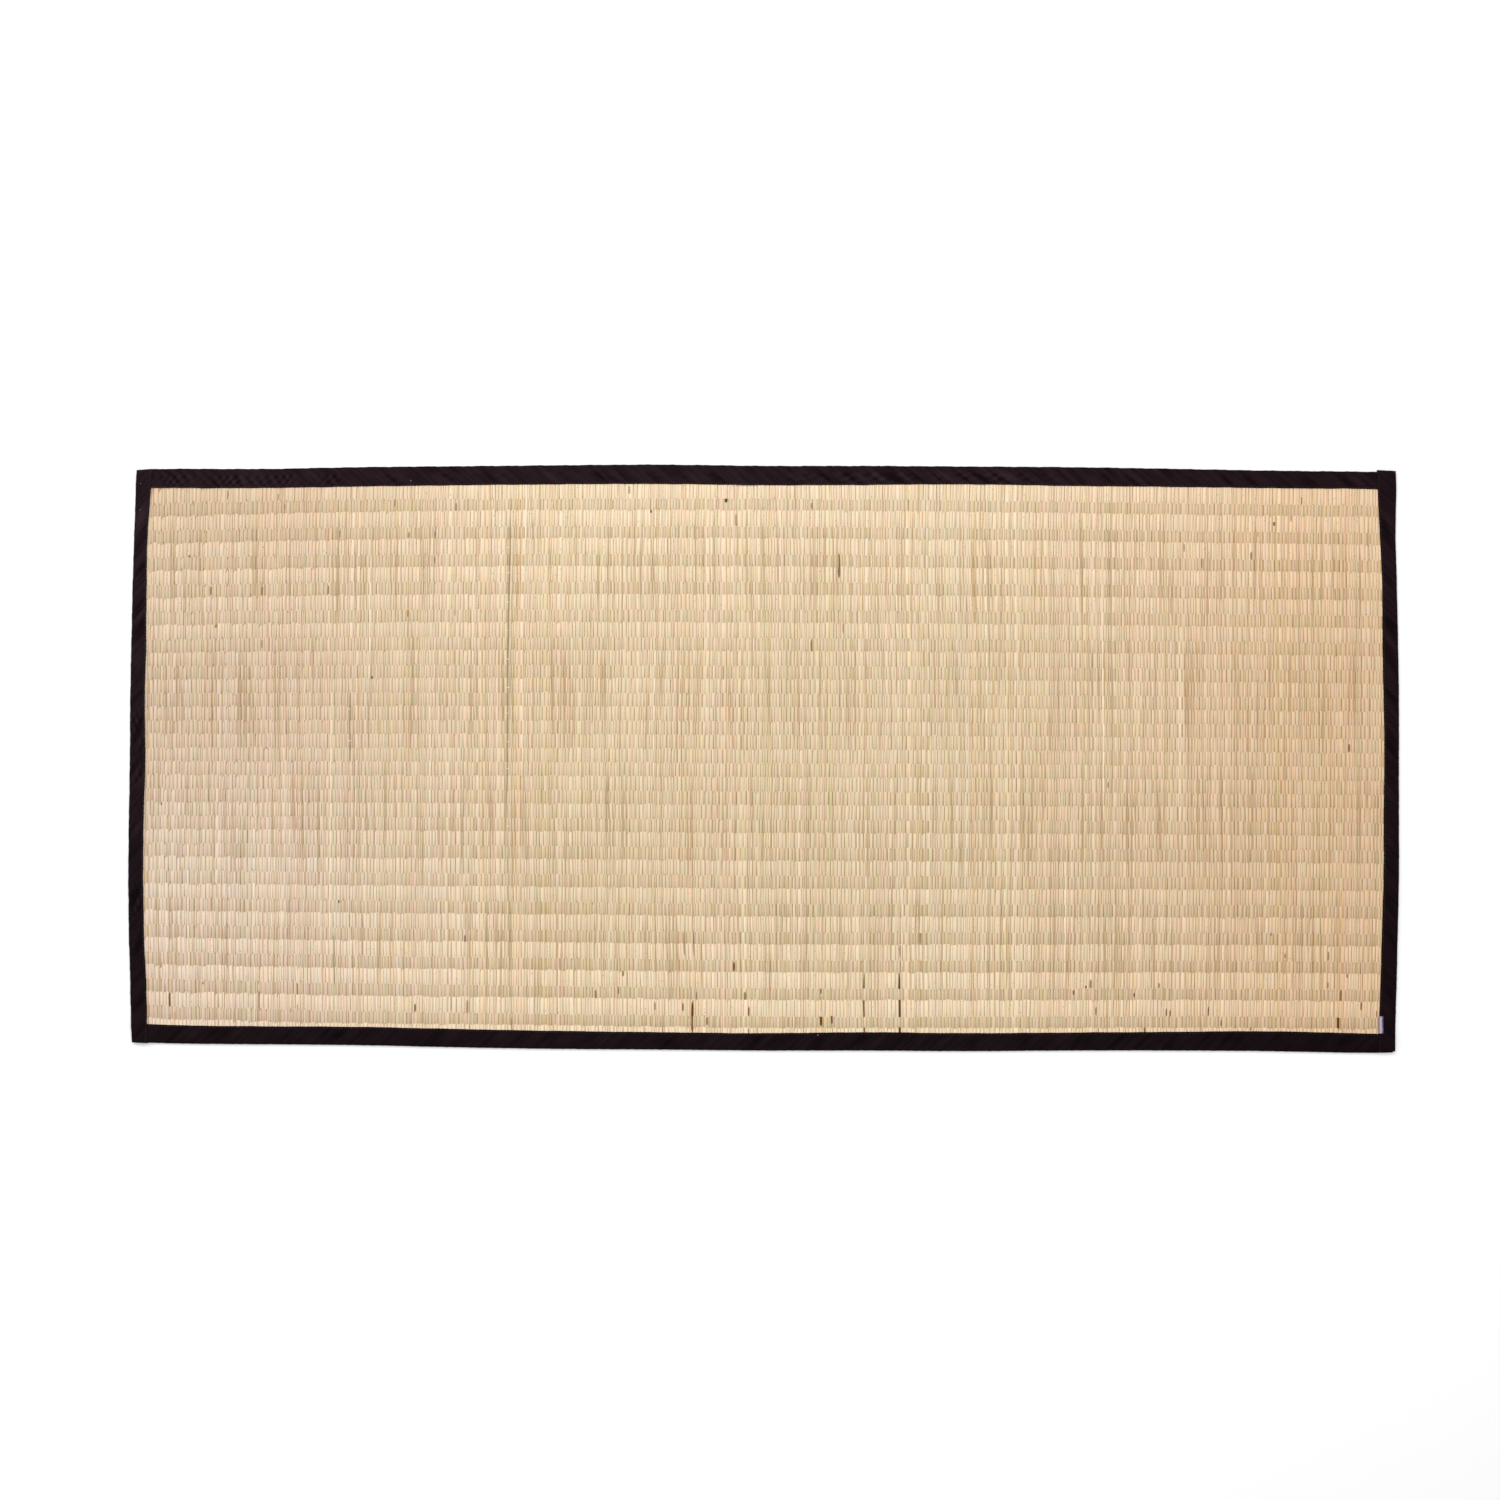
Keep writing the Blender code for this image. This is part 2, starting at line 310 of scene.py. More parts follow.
# Splits points into the stations they were lofted from, in order along an axis
def stationsAlong(points, run):
    points = points[points[:, run].argsort()]
    return np.split(points, np.flatnonzero(np.diff(points[:, run]) > 3 * mm) + 1)


# A tape runs along one axis; its edges are read across it, at each station of its solid
def readTape(name, run):
    stations = stationsAlong(nodePoints(name), run)
    across = 1 - run
    outward = math.copysign(1, stations[0][:, across].mean())
    outermost = [s[(s[:, across] * outward).argmax()] for s in stations]
    innermost = [s[(s[:, across] * outward).argmin()] for s in stations]
    at = [s[:, run].mean() for s in stations]
    low, high = ([pick(s[:, z]) for s in stations] for pick in (min, max))
    return {
        "run": run, "outward": outward,
        "ends": [(outermost[i][run], innermost[i][run]) for i in (0, -1)],
        "outer": smoothLine([p[run] for p in outermost], [p[across] for p in outermost]),
        "inner": smoothLine([p[run] for p in innermost], [p[across] for p in innermost]),
        "low": lambda place: np.interp(place, at, low),
        "high": lambda place: np.interp(place, at, high),
    }


tapes = {name: readTape("binding_" + name, run) for name, run in
         (("top", x), ("bottom", x), ("left", y), ("right", y))}


def readRibs():
    points = nodePoints("rush_panel")
    crest = points[np.abs(points[:, x]) < 0.5][:, z].max()
    columns = stationsAlong(points[np.abs(points[:, z] - crest) < 0.005 * mm], x)
    count = max(len(c) for c in columns)

    def outermostRib(sign):
        ends = [c[(c[:, y] * sign).argmax()] for c in columns]
        whole = [e for e, c in zip(ends, columns) if len(c) == count or c is columns[0] or c is columns[-1]]
        rough = smoothLine([e[x] for e in whole], [e[y] for e in whole])
        near = [e for e in ends if abs(e[y] - rough(e[x])) < 5 * mm]
        return smoothLine([e[x] for e in near], [e[y] for e in near])

    return {"count": count, "crest": crest, "first": outermostRib(1), "last": outermostRib(-1)}


ribs = readRibs()


# The woven sheet's thickness where a tape presses it, and at the corners where two do
def readPressedHeights():
    points = nodePoints("rush_panel")
    edge = points[(np.abs(points[:, x]) < 0.5) & (points[:, y] > tapes["top"]["inner"](0))]
    corner = points[(points[:, x] > tapes["right"]["inner"](0)) & (points[:, y] > tapes["top"]["inner"](1.0))]
    return [(g[:, z].min(), g[:, z].max()) for g in (edge, corner)]


pressedHeights = readPressedHeights()

# Straws: half are laid with their roots up and half with their roots down, by turns
rush = {
    "straws": 720, "unevenSpacing": 0.42, "spacingLimits": (-0.7, 0.9), "narrowest": 0.8 * mm,
    "insetX": 3.6 * mm, "insetY": 2.5 * mm, "levelOut": 0.37, "rootLonger": 0.10, "leftLongerShare": 0.3,
    "unevenLevelOut": 0.04, "levelOutLimits": (-0.09, 0.09), "leftLooser": 0.9, "leftPart": 0.2,
    "strawShare": 0.33, "unevenHeight": 0.08, "heightLimits": (-0.2, 0.15), "alternating": 0.28,
    "topFlat": 0.92, "sideRise": 0.25, "overShare": 0.97, "marksEach": 3,
    "sway": 0.9 * mm, "ripple": 0.3 * mm, "wiggle": 0.12 * mm, "wiggleLengths": (0.05, 0.13, 0.31),
    "raisedReach": 1.0 * mm, "levelReachShort": 13.0 * mm, "levelReachLong": 6.5 * mm,
}
# Round a straw: left, top left, top right, right, below, left again, in the grain and in its strip of the map
ringGrain = np.array([0.20, 0.26, 0.74, 0.80, 1.0, 1.2])
ringBake = [0.05, 0.15, 0.61, 0.71, 0.83, 0.95]


# The sheet's lowest and highest surface at a place
def sheetHeights(px, py):
    def pressed(depth, levelReach):
        return np.clip((levelReach - depth) / (levelReach - rush["raisedReach"]), 0, 1)

    fromLong = np.minimum(tapes["top"]["inner"](px) - py, py - tapes["bottom"]["inner"](px))
    fromShort = np.minimum(px - tapes["left"]["inner"](py), tapes["right"]["inner"](py) - px)
    byLong, byShort = pressed(fromLong, rush["levelReachLong"]), pressed(fromShort, rush["levelReachShort"])
    once, twice = np.maximum(byLong, byShort), np.minimum(byLong, byShort)
    (edgeLow, edgeHigh), (cornerLow, cornerHigh) = pressedHeights
    low = edgeLow * once + (cornerLow - edgeLow) * twice
    high = ribs["crest"] + (edgeHigh - ribs["crest"]) * once + (cornerHigh - edgeHigh) * twice
    return low, high


def ribY(px, turn):
    first, last = ribs["first"](px), ribs["last"](px)
    return first + (last - first) * turn / (ribs["count"] - 1)


# How far along the sheet's width a place is, counted in ribs from the top one
def ribTurn(px, py):
    first, last = ribs["first"](px), ribs["last"](px)
    return (py - first) / (last - first) * (ribs["count"] - 1)


# The roots are thicker, so they show for longer than the tips do, though less so at the left
def rootLead(rib, px):
    byPlace = np.interp(px, [-0.95, -0.35], [rush["leftLongerShare"], 1])
    return rush["rootLonger"] * (1 - 2 * rib / (ribs["count"] - 1)) * (1 - 2 * (rib % 2)) * byPlace


# Rows of points along a straw, in ribs from the top one: the two ends of where it is level at each rib
def makeStrawRows(px):
    turns, levels = [], []
    for rib in range(-1, ribs["count"] + 1):
        reach = rush["levelOut"] + rootLead(rib, px)
        turns += [rib - reach, rib + reach]
        levels += [rib, rib]
    # The two outermost are moved to the sheet's own edges later
    return np.stack([turns[0]] + turns + [turns[-1]], axis=1), [levels[0]] + levels + [levels[-1]]


# Shade from dark 0 to light 1 of both kinds of straw, from the top rib to the bottom one
strawShades = {
    "rib": [0, 5, 11, 17, 23, 29, 35, 38],
    "rootsUp": [0.70, 0.64, 0.48, 0.42, 0.33, 0.26, 0.28, 0.25],
    "rootsDown": [0.40, 0.37, 0.35, 0.40, 0.43, 0.48, 0.66, 0.65],
}

# Stains seen in the photograph, in its pixels: place, length along the straw, and darkness
stainColumns = ("px", "py", "length", "depth")
stains = [
    (228, 495, 9, 0.6), (278, 497, 6, 0.5), (285, 507, 6, 0.5), (340, 534, 8, 0.5), (409, 535, 6, 0.5),
    (435, 534, 6, 0.5), (435, 560, 6, 0.5), (456, 507, 8, 0.5), (395, 503, 8, 0.5), (211, 591, 9, 0.6),
    (262, 591, 9, 0.6), (328, 590, 9, 0.6), (408, 613, 8, 0.5), (262, 644, 8, 0.5), (216, 626, 4, 0.7),
    (372, 678, 4, 0.7), (629, 490, 8, 0.5), (726, 499, 7, 0.9), (651, 511, 4, 0.7), (736, 520, 12, 0.5),
    (812, 506, 6, 0.5), (843, 628, 10, 0.5), (812, 646, 12, 0.6), (1302, 501, 8, 0.6),
    (1274, 524, 4, 0.7), (1291, 518, 8, 0.5), (1251, 556, 8, 0.6), (1201, 563, 10, 0.6), (1258, 533, 8, 0.5),
    (1184, 548, 8, 0.5), (1108, 785, 6, 0.6), (1348, 748, 8, 0.7), (169.8, 1001, 18, 0.75),
    (203, 983, 3, 0.6), (161, 965, 6, 0.6), (162, 803, 4, 0.7), (465, 939, 8, 0.6), (467.5, 1007, 14, 0.5),
    (451.3, 1001, 20, 0.4), (1096.3, 1011, 8, 0.6), (1158.8, 985.5, 5, 0.6), (1166.5, 1012.5, 8, 0.6),
    (1170.5, 1014, 8, 0.6), (1086.3, 987, 3, 0.8), (1090.5, 984, 9, 0.6), (1074, 992.5, 5, 0.7),
    (1134.3, 995, 4, 0.7), (1144.5, 1030, 7, 0.7), (1098.8, 1029, 8, 0.5), (189.5, 557, 4, 0.7),
    (415, 1008, 8, 0.6), (339, 901, 4, 0.7),
    (596, 994, 8, 0.6), (618, 990, 8, 0.6), (623, 973, 6, 0.6), (655, 1006, 8, 0.6), (683, 1007, 8, 0.6),
    (697, 996, 8, 0.6), (707, 1021, 8, 0.6), (734, 966.5, 9, 0.8), (745, 996, 8, 0.6),
    (748.6, 1011.5, 9, 0.8), (748, 1031, 5, 0.6), (821, 990, 8, 0.6), (821, 1020, 12, 1.0),
    (831.4, 1019.5, 9, 0.9), (863.8, 1009, 72, 0.9), (899.7, 1009, 76, 1.0), (900, 951, 12, 0.5),
    (920, 937, 14, 0.5), (1208.5, 1011.5, 9, 0.8), (1221, 1023, 6, 0.6), (1271, 934, 4, 0.6),
    (1285, 956, 5, 0.6), (1328, 956, 9, 0.55), (1327, 985, 6, 0.5), (1338, 1023, 16, 0.95),
    (1341, 998, 16, 0.6), (1347, 975, 6, 0.55), (1362, 1006, 8, 0.65), (1377, 1014, 7, 0.6),
    (1250, 1028, 5, 0.6),
]


# Tints of marks. Twice a tint's number is added to a mark's depth, which is below 2, to tell the shader
# The olive tint paints the shade in gaps between straws, such as where one is missing and the warp shows
markTints = {
    "brown": (0.115, 0.042, 0.004, 1), "olive": (0.300, 0.215, 0.125, 1), "orange": (0.68, 0.36, 0.17, 1),
    "pale": (0.90, 0.77, 0.585, 1), "rust": (0.42, 0.16, 0.055, 1),
}

# Lines over both kinds of straw, and rust over the one on top: place, ends and how strong, for each tint
lineColumns = ("px", "start", "end", "depth")
lines = {
    "brown": [
        (839, 554, 578, 0.7), (259.6, 991, 1011, 0.6), (692.2, 1001, 1033, 0.85), (693.8, 931, 956, 0.6),
        (684.2, 931, 956, 0.45), (821, 996, 1012, 0.3), (511.6, 1018, 1034, 0.5), (371.3, 640, 705, 0.25),
    ],
    # Olive lines: painted shade in gaps between straws
    "olive": [
        (507.5, 505, 800, 0.8), (509, 800, 1015, 0.4), (511.8, 530, 700, 0.45), (350.2, 692, 762, 0.8),
        (333.6, 935, 985, 0.7), (1111, 486, 816, 0.45), (892, 876, 966, 0.5),
    ],
    "orange": [
        (683, 985, 1015, 0.45), (1341, 900, 1030, 0.45), (517, 520, 830, 0.24), (533, 560, 760, 0.21),
        (1227, 756, 916, 0.21), (1207, 916, 1034, 0.21), (1182, 716, 886, 0.21), (494.5, 836, 1034, 0.24),
        (393, 506, 800, 0.18), (1037, 506, 636, 0.21),
    ],
    "pale": [
        (330.8, 686, 1012, 0.4), (521.5, 600, 770, 0.25), (473, 546, 666, 0.35), (526, 486, 540, 0.43),
        (743.7, 886, 1034, 0.42), (794, 880, 1034, 0.5), (902, 886, 970, 0.52), (253.5, 866, 1034, 0.35),
        (188, 836, 986, 0.35), (654, 636, 786, 0.35), (1065, 866, 986, 0.43), (982, 886, 1006, 0.35),
        (1103, 586, 816, 0.43), (1180, 636, 836, 0.43), (370, 560, 700, 0.43), (850, 700, 1030, 0.31),
        (620, 500, 640, 0.31), (1258, 500, 660, 0.31), (1300, 780, 980, 0.31), (430, 700, 900, 0.31),
    ],
    "rust": [
        (296.8, 983, 998, 1.0), (297.5, 1004, 1010, 0.6), (222.5, 899, 912, 0.4), (222.5, 927, 940, 0.5),
        (222.5, 955, 966, 0.5), (244, 900, 912, 0.35), (250, 899, 912, 0.3), (249, 955, 966, 0.35),
        (287, 928, 937, 0.6), (277, 927, 940, 0.35), (200, 955, 966, 0.35), (200, 927, 940, 0.3),
        (156, 899, 911, 0.25), (165, 984, 995, 0.35), (216, 984, 995, 0.3), (175, 1011, 1020, 0.4),
        (170, 1013, 1024, 0.4), (234, 1010, 1022, 0.35), (259.6, 1013, 1025, 0.4), (280, 1013, 1025, 0.35),
        (455, 606, 616, 0.5), (1342, 960, 976, 0.4), (797, 1015, 1026, 0.4), (415.3, 1004, 1011, 0.6),
    ],
}

# Where the cotton warp shows at a missing straw
warpShowsColumns = ("px", "py")
warpShows = [
    (508.3, 547.5), (508.2, 573), (507.7, 602), (507.2, 630.5), (508, 659), (508.3, 687.5), (506.6, 713),
    (508.5, 741.5), (508.2, 768.5), (508, 826.5), (349, 709), (349.6, 741),
]


def makeStraws():
    random = np.random.default_rng(41)
    count = rush["straws"]
    gaps = 1 + random.normal(0, rush["unevenSpacing"], count).clip(*rush["spacingLimits"])
    edges = np.concatenate([[0], np.cumsum(gaps)]) / gaps.sum()
    middles = (edges[1:] + edges[:-1]) / 2
    before, after = np.append(middles[0], middles[:-1]), np.append(middles[1:], middles[-1])
    start, end = tapes["left"]["outer"](0), tapes["right"]["outer"](0)
    turn, levels = makeStrawRows(start + (end - start) * middles)
    loose = random.normal(0, rush["unevenLevelOut"], turn.shape).clip(*rush["levelOutLimits"])
    loose *= 1 + np.interp(middles, [0, rush["leftPart"]], [rush["leftLooser"], 0])[:, None]
    # The end of one level and the start of the next are shifted together
    turn = turn + loose[:, np.arange(len(levels)) // 2]

    share = (before + after)[:, None] / 2
    breadth = np.maximum((after - before)[:, None] * (end - start) / 2, rush["narrowest"]) + 0 * turn

    def acrossAt(py):
        left = tapes["left"]["outer"](py) + rush["insetX"]
        right = tapes["right"]["outer"](py) - rush["insetX"]
        return left + (right - left) * share

    py = ribY(acrossAt(np.zeros_like(turn)), turn)
    px = acrossAt(py)
    py = ribY(px, turn)
    top = tapes["top"]["outer"](px) - rush["insetY"]
    bottom = tapes["bottom"]["outer"](px) + rush["insetY"]
    py[:, 0], py[:, -1] = top[:, 0], bottom[:, -1]
    py = np.clip(py, bottom, top)

    kind = np.arange(count) % 2
    onTop = kind[:, None] == np.array(levels)[None, :] % 2
    over = np.where(onTop, rush["overShare"], 1 - rush["overShare"])
    low, high = sheetHeights(px, py)
    thick = high - low
    uneven = 1 + random.normal(0, rush["unevenHeight"], (count, 1)).clip(*rush["heightLimits"])
    half = thick * rush["strawShare"] / 2 * uneven
    pz = low + half + (thick - 2 * half) * over

    unswayed = px
    inside = np.sin(math.pi * middles)[:, None]
    sway = np.sin(py * 9 + px * 5) + np.sin(py * 21 - px * 13 + 2) * 0.6
    ripple = np.sin(py * 71 + px * 23) * np.sin(px * 61 - py * 17 + 1)
    own = np.zeros_like(px)
    for length in rush["wiggleLengths"]:
        phase = random.random((count, 1)) * 2 * math.pi
        own += np.sin(2 * math.pi * py / length + phase) * random.normal(0, 0.6, (count, 1)).clip(-1, 1)
    px = px + inside * (rush["sway"] * sway + rush["ripple"] * ripple) + rush["wiggle"] * own

    shade = np.empty_like(turn)
    for k, name in enumerate(("rootsUp", "rootsDown")):
        shade[kind == k] = np.interp(turn[kind == k], strawShades["rib"], strawShades[name])
    # Light and dark straws of a kind tend to alternate
    own = random.normal(0, 1, count + 4).clip(-2, 2)
    own = own[2:-2] - rush["alternating"] * (own[:-4] + own[4:])
    tone = np.concatenate([random.random((count, 3)), own[:, None]], axis=1)
    return {"count": count, "kind": kind, "px": px, "py": py, "pz": pz, "half": half,
            "breadth": breadth, "unswayed": unswayed, "shade": shade, "tone": tone}


# Gives each mark to the straw at its place: its middle, its reach, its depth with its tint, and how far across
def placeMarks(straws):
    marks = np.zeros((rush["marksEach"], straws["count"], 4), np.float32)
    marks[:, :, 0] = 9.0
    marks[:, :, 1] = mm

    def mark(kind, sx, sy, pixels, depth, tint):
        column = np.array([np.interp(-sy, -py, px) for px, py in zip(straws["px"], straws["py"])])
        away = np.abs(column - sx) + (straws["kind"] != kind)
        i = int(away.argmin())
        slot = int(np.argmin(marks[:, i, 2] % 2))
        offset = np.clip((sx - column[i]) / straws["breadth"][i].max(), -0.6, 0.6)
        code = depth + 2 * list(markTints).index(tint)
        marks[slot, i] = (sy, pixels * photo["metresPerPixel"] / 2, code, 0.5 + 0.26 * offset)

    # Which kind of straw lies on top there
    def kindOnTop(sx, sy):
        turn = float(ribTurn(sx, sy))
        rib = round(turn)
        if abs(turn - rib) > 0.5 + rootLead(rib, sx):
            rib += 1 if turn > rib else -1
        return rib % 2

    for tint in markTints:
        for seen in named(lineColumns, lines[tint]):
            sx, sy = fromPhoto(seen["px"], (seen["start"] + seen["end"]) / 2)
            for kind in (kindOnTop(sx, sy),) if tint == "rust" else (0, 1):
                mark(kind, sx, sy, seen["end"] - seen["start"], seen["depth"], tint)
    for seen in named(stainColumns, stains):
        sx, sy = fromPhoto(seen["px"], seen["py"])
        mark(kindOnTop(sx, sy), sx, sy, seen["length"], seen["depth"], "brown")
    return marks


# Faces of closed tubes whose points are counted by tube, then row, then around
def tubeFaces(tubes, rows, around):
    grid = np.arange(tubes * rows * around).reshape(tubes, rows, around)
    here, below = grid[:, :-1], grid[:, 1:]
    sides = np.stack([here, below, np.roll(below, -1, axis=2), np.roll(here, -1, axis=2)], axis=-1)
    return sides.reshape(-1, 4), grid[:, 0], grid[:, -1, ::-1]


# Places in a flat map for the corners of those side faces
def tubePlaces(across, along):
    shape = (len(along), along.shape[1] - 1, across.shape[1] - 1)
    u0, u1 = (np.broadcast_to(u[:, None, :], shape) for u in (across[:, :-1], across[:, 1:]))
    v0, v1 = (np.broadcast_to(v[:, :, None], shape) for v in (along[:, :-1], along[:, 1:]))
    corners = ((u0, v0), (u0, v1), (u1, v1), (u1, v0))
    return np.stack([np.stack(corner, axis=-1) for corner in corners], axis=3).reshape(-1, 2)


def meshFromFaces(name, points, faceLists, material):
    mesh = bpy.data.meshes.new(name)
    sizes = np.concatenate([np.full(len(f), f.shape[1]) for f in faceLists])
    corners = np.concatenate([f.reshape(-1) for f in faceLists])
    mesh.vertices.add(len(points))
    mesh.vertices.foreach_set("co", np.asarray(points, np.float32).reshape(-1))
    mesh.loops.add(len(corners))
    mesh.loops.foreach_set("vertex_index", corners.astype(np.int32))
    mesh.polygons.add(len(sizes))
    mesh.polygons.foreach_set("loop_start", np.concatenate([[0], np.cumsum(sizes)[:-1]]).astype(np.int32))
    mesh.update(calc_edges=True)
    mesh.validate()
    mesh.materials.append(material)
    mesh.shade_smooth()
    made = bpy.data.objects.new(name, mesh)
    bpy.context.scene.collection.objects.link(made)
    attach(made, "root")
    return made


def addMap(made, name, places):
    layer = made.data.uv_layers.new(name=name)
    layer.data.foreach_set("uv", np.concatenate(places).astype(np.float32).reshape(-1))


def addAttribute(made, name, kind, values):
    attribute = made.data.attributes.new(name, kind, "POINT")
    field = "value" if kind == "FLOAT" else "color"
    attribute.data.foreach_set(field, np.asarray(values, np.float32).reshape(-1))


# One set of straws as a joined mesh: five faces round each straw, flat on top
def strawSet(name, straws, chosen, marks, material):
    px, py, pz = (straws[key][chosen] for key in ("px", "py", "pz"))
    wide, half = straws["breadth"][chosen], straws["half"][chosen]
    tubes, rows = px.shape
    flat, side = rush["topFlat"], rush["sideRise"]
    ring = np.array([(-1, side), (-flat, 1), (flat, 1), (1, side), (0, -1)])
    around = len(ring)
    points = np.stack([np.stack([px + wide * a, py, pz + half * h], axis=-1) for a, h in ring], axis=2)
    made = meshFromFaces(name, points.reshape(-1, 3), tubeFaces(tubes, rows, around), material)

    each = np.ones((tubes, 1))
    grain = each * ringGrain
    ends = [np.stack([grain[:, :-1], py[:, [i]] * np.ones(around)], axis=-1).reshape(-1, 2) for i in (0, -1)]
    addMap(made, "strawGrain", [tubePlaces(grain, py)] + ends)
    column = np.arange(tubes)[:, None] / tubes
    reach = 0.01 + 0.98 * (py - py.min()) / (py.max() - py.min())
    u = column + (0.5 + 0.2 * ring[:, 0]) / tubes
    ends = [np.stack([u, 0 * u + at + 0.002 * ring[:, 1]], axis=-1).reshape(-1, 2) for at in (0.002, 0.994)]
    addMap(made, "OFBake", [tubePlaces(column + np.array(ringBake) / tubes, reach)] + ends)

    addAttribute(made, "strawTone", "FLOAT_COLOR", np.repeat(straws["tone"][chosen], rows * around, axis=0))
    unswayed = straws["unswayed"][chosen][:, :, None] + wide[:, :, None] * ring[:, 0]
    addAttribute(made, "strawAcross", "FLOAT", unswayed)
    addAttribute(made, "strawShade", "FLOAT", np.repeat(straws["shade"][chosen].reshape(-1), around))
    for i in range(rush["marksEach"]):
        each = np.repeat(marks[i, chosen], rows * around, axis=0)
        addAttribute(made, "strawMark%d" % (i + 1), "FLOAT_COLOR", each)
    area = float((2 * wide[:, :-1] * np.abs(np.diff(py, axis=1))).sum())
    length = tapes["top"]["outer"](0) - tapes["bottom"]["outer"](0)
    return made, area, float(length)


# Rush: cream roots turning to greenish tips, streaked along the straw, with painted shade in the grooves
# beside its neighbours
rushLook = {
    "dark": (0.530, 0.400, 0.252, 1), "light": (0.842, 0.693, 0.490, 1), "strawContrast": 0.075,
    "streakContrast": 0.10, "broadStreaks": (6.0, 7.0, 3.0), "fineStreaks": (30.0, 26.0, 2.0),
    "sharedContrast": 0.46, "shared": (370.0, 3.0, 0.0), "pinkContrast": 1.4, "pinker": (120.0, 4.0, 7.0),
    "pink": (1.02, 0.955, 0.965, 1), "olive": (0.91, 0.935, 0.83, 1), "gold": (1.01, 0.98, 0.90, 1),
    # Painted shade in the grooves between straws, patchy along them, and a tint shared with split lines
    "grooveShadeAndSplitTint": (0.725, 0.65, 0.55, 1), "grooveShadeNoise": (1.0, 9.0, 0.0), "splits": (400.0, 5.0, 5.0),
    "speckBrown": (0.24, 0.095, 0.03, 1), "specks": (440.0, 340.0, 0.0), "speckFrom": 0.78, "speckTo": 0.81,
    "markCore": 0.06, "markSpread": 0.09, "markFray": 1.1,
    "roughness": (0.42, 0.66), "specular": 0.35, "bumpHeight": 0.06 * mm, "broadBump": 0.8,
    "tintFrom": 0.25, "tintTo": 0.95, "rightTint": (0.958, 0.872, 0.817, 1),
}

# Soft patches, from one tint to another: greener or pinker, and yellower or bluer
patches = [
    {"low": (0.970, 1.0, 0.995, 1), "high": (1.030, 1.0, 1.005, 1), "stretch": (60.0, 45.0, 3.0)},
    {"low": (1.0, 1.0, 0.965, 1), "high": (1.0, 1.0, 1.035, 1), "stretch": (60.0, 45.0, 11.0)},
]

# The straw's cast at the left end, from low to high across the mat
leftTints = [
    (-0.40, (0.95, 0.94, 1.04)), (-0.18, (1.0, 1.02, 1.19)), (0.05, (0.90, 0.87, 0.95)),
    (0.22, (0.905, 0.885, 0.935)), (0.42, (0.815, 0.765, 0.745)),
]


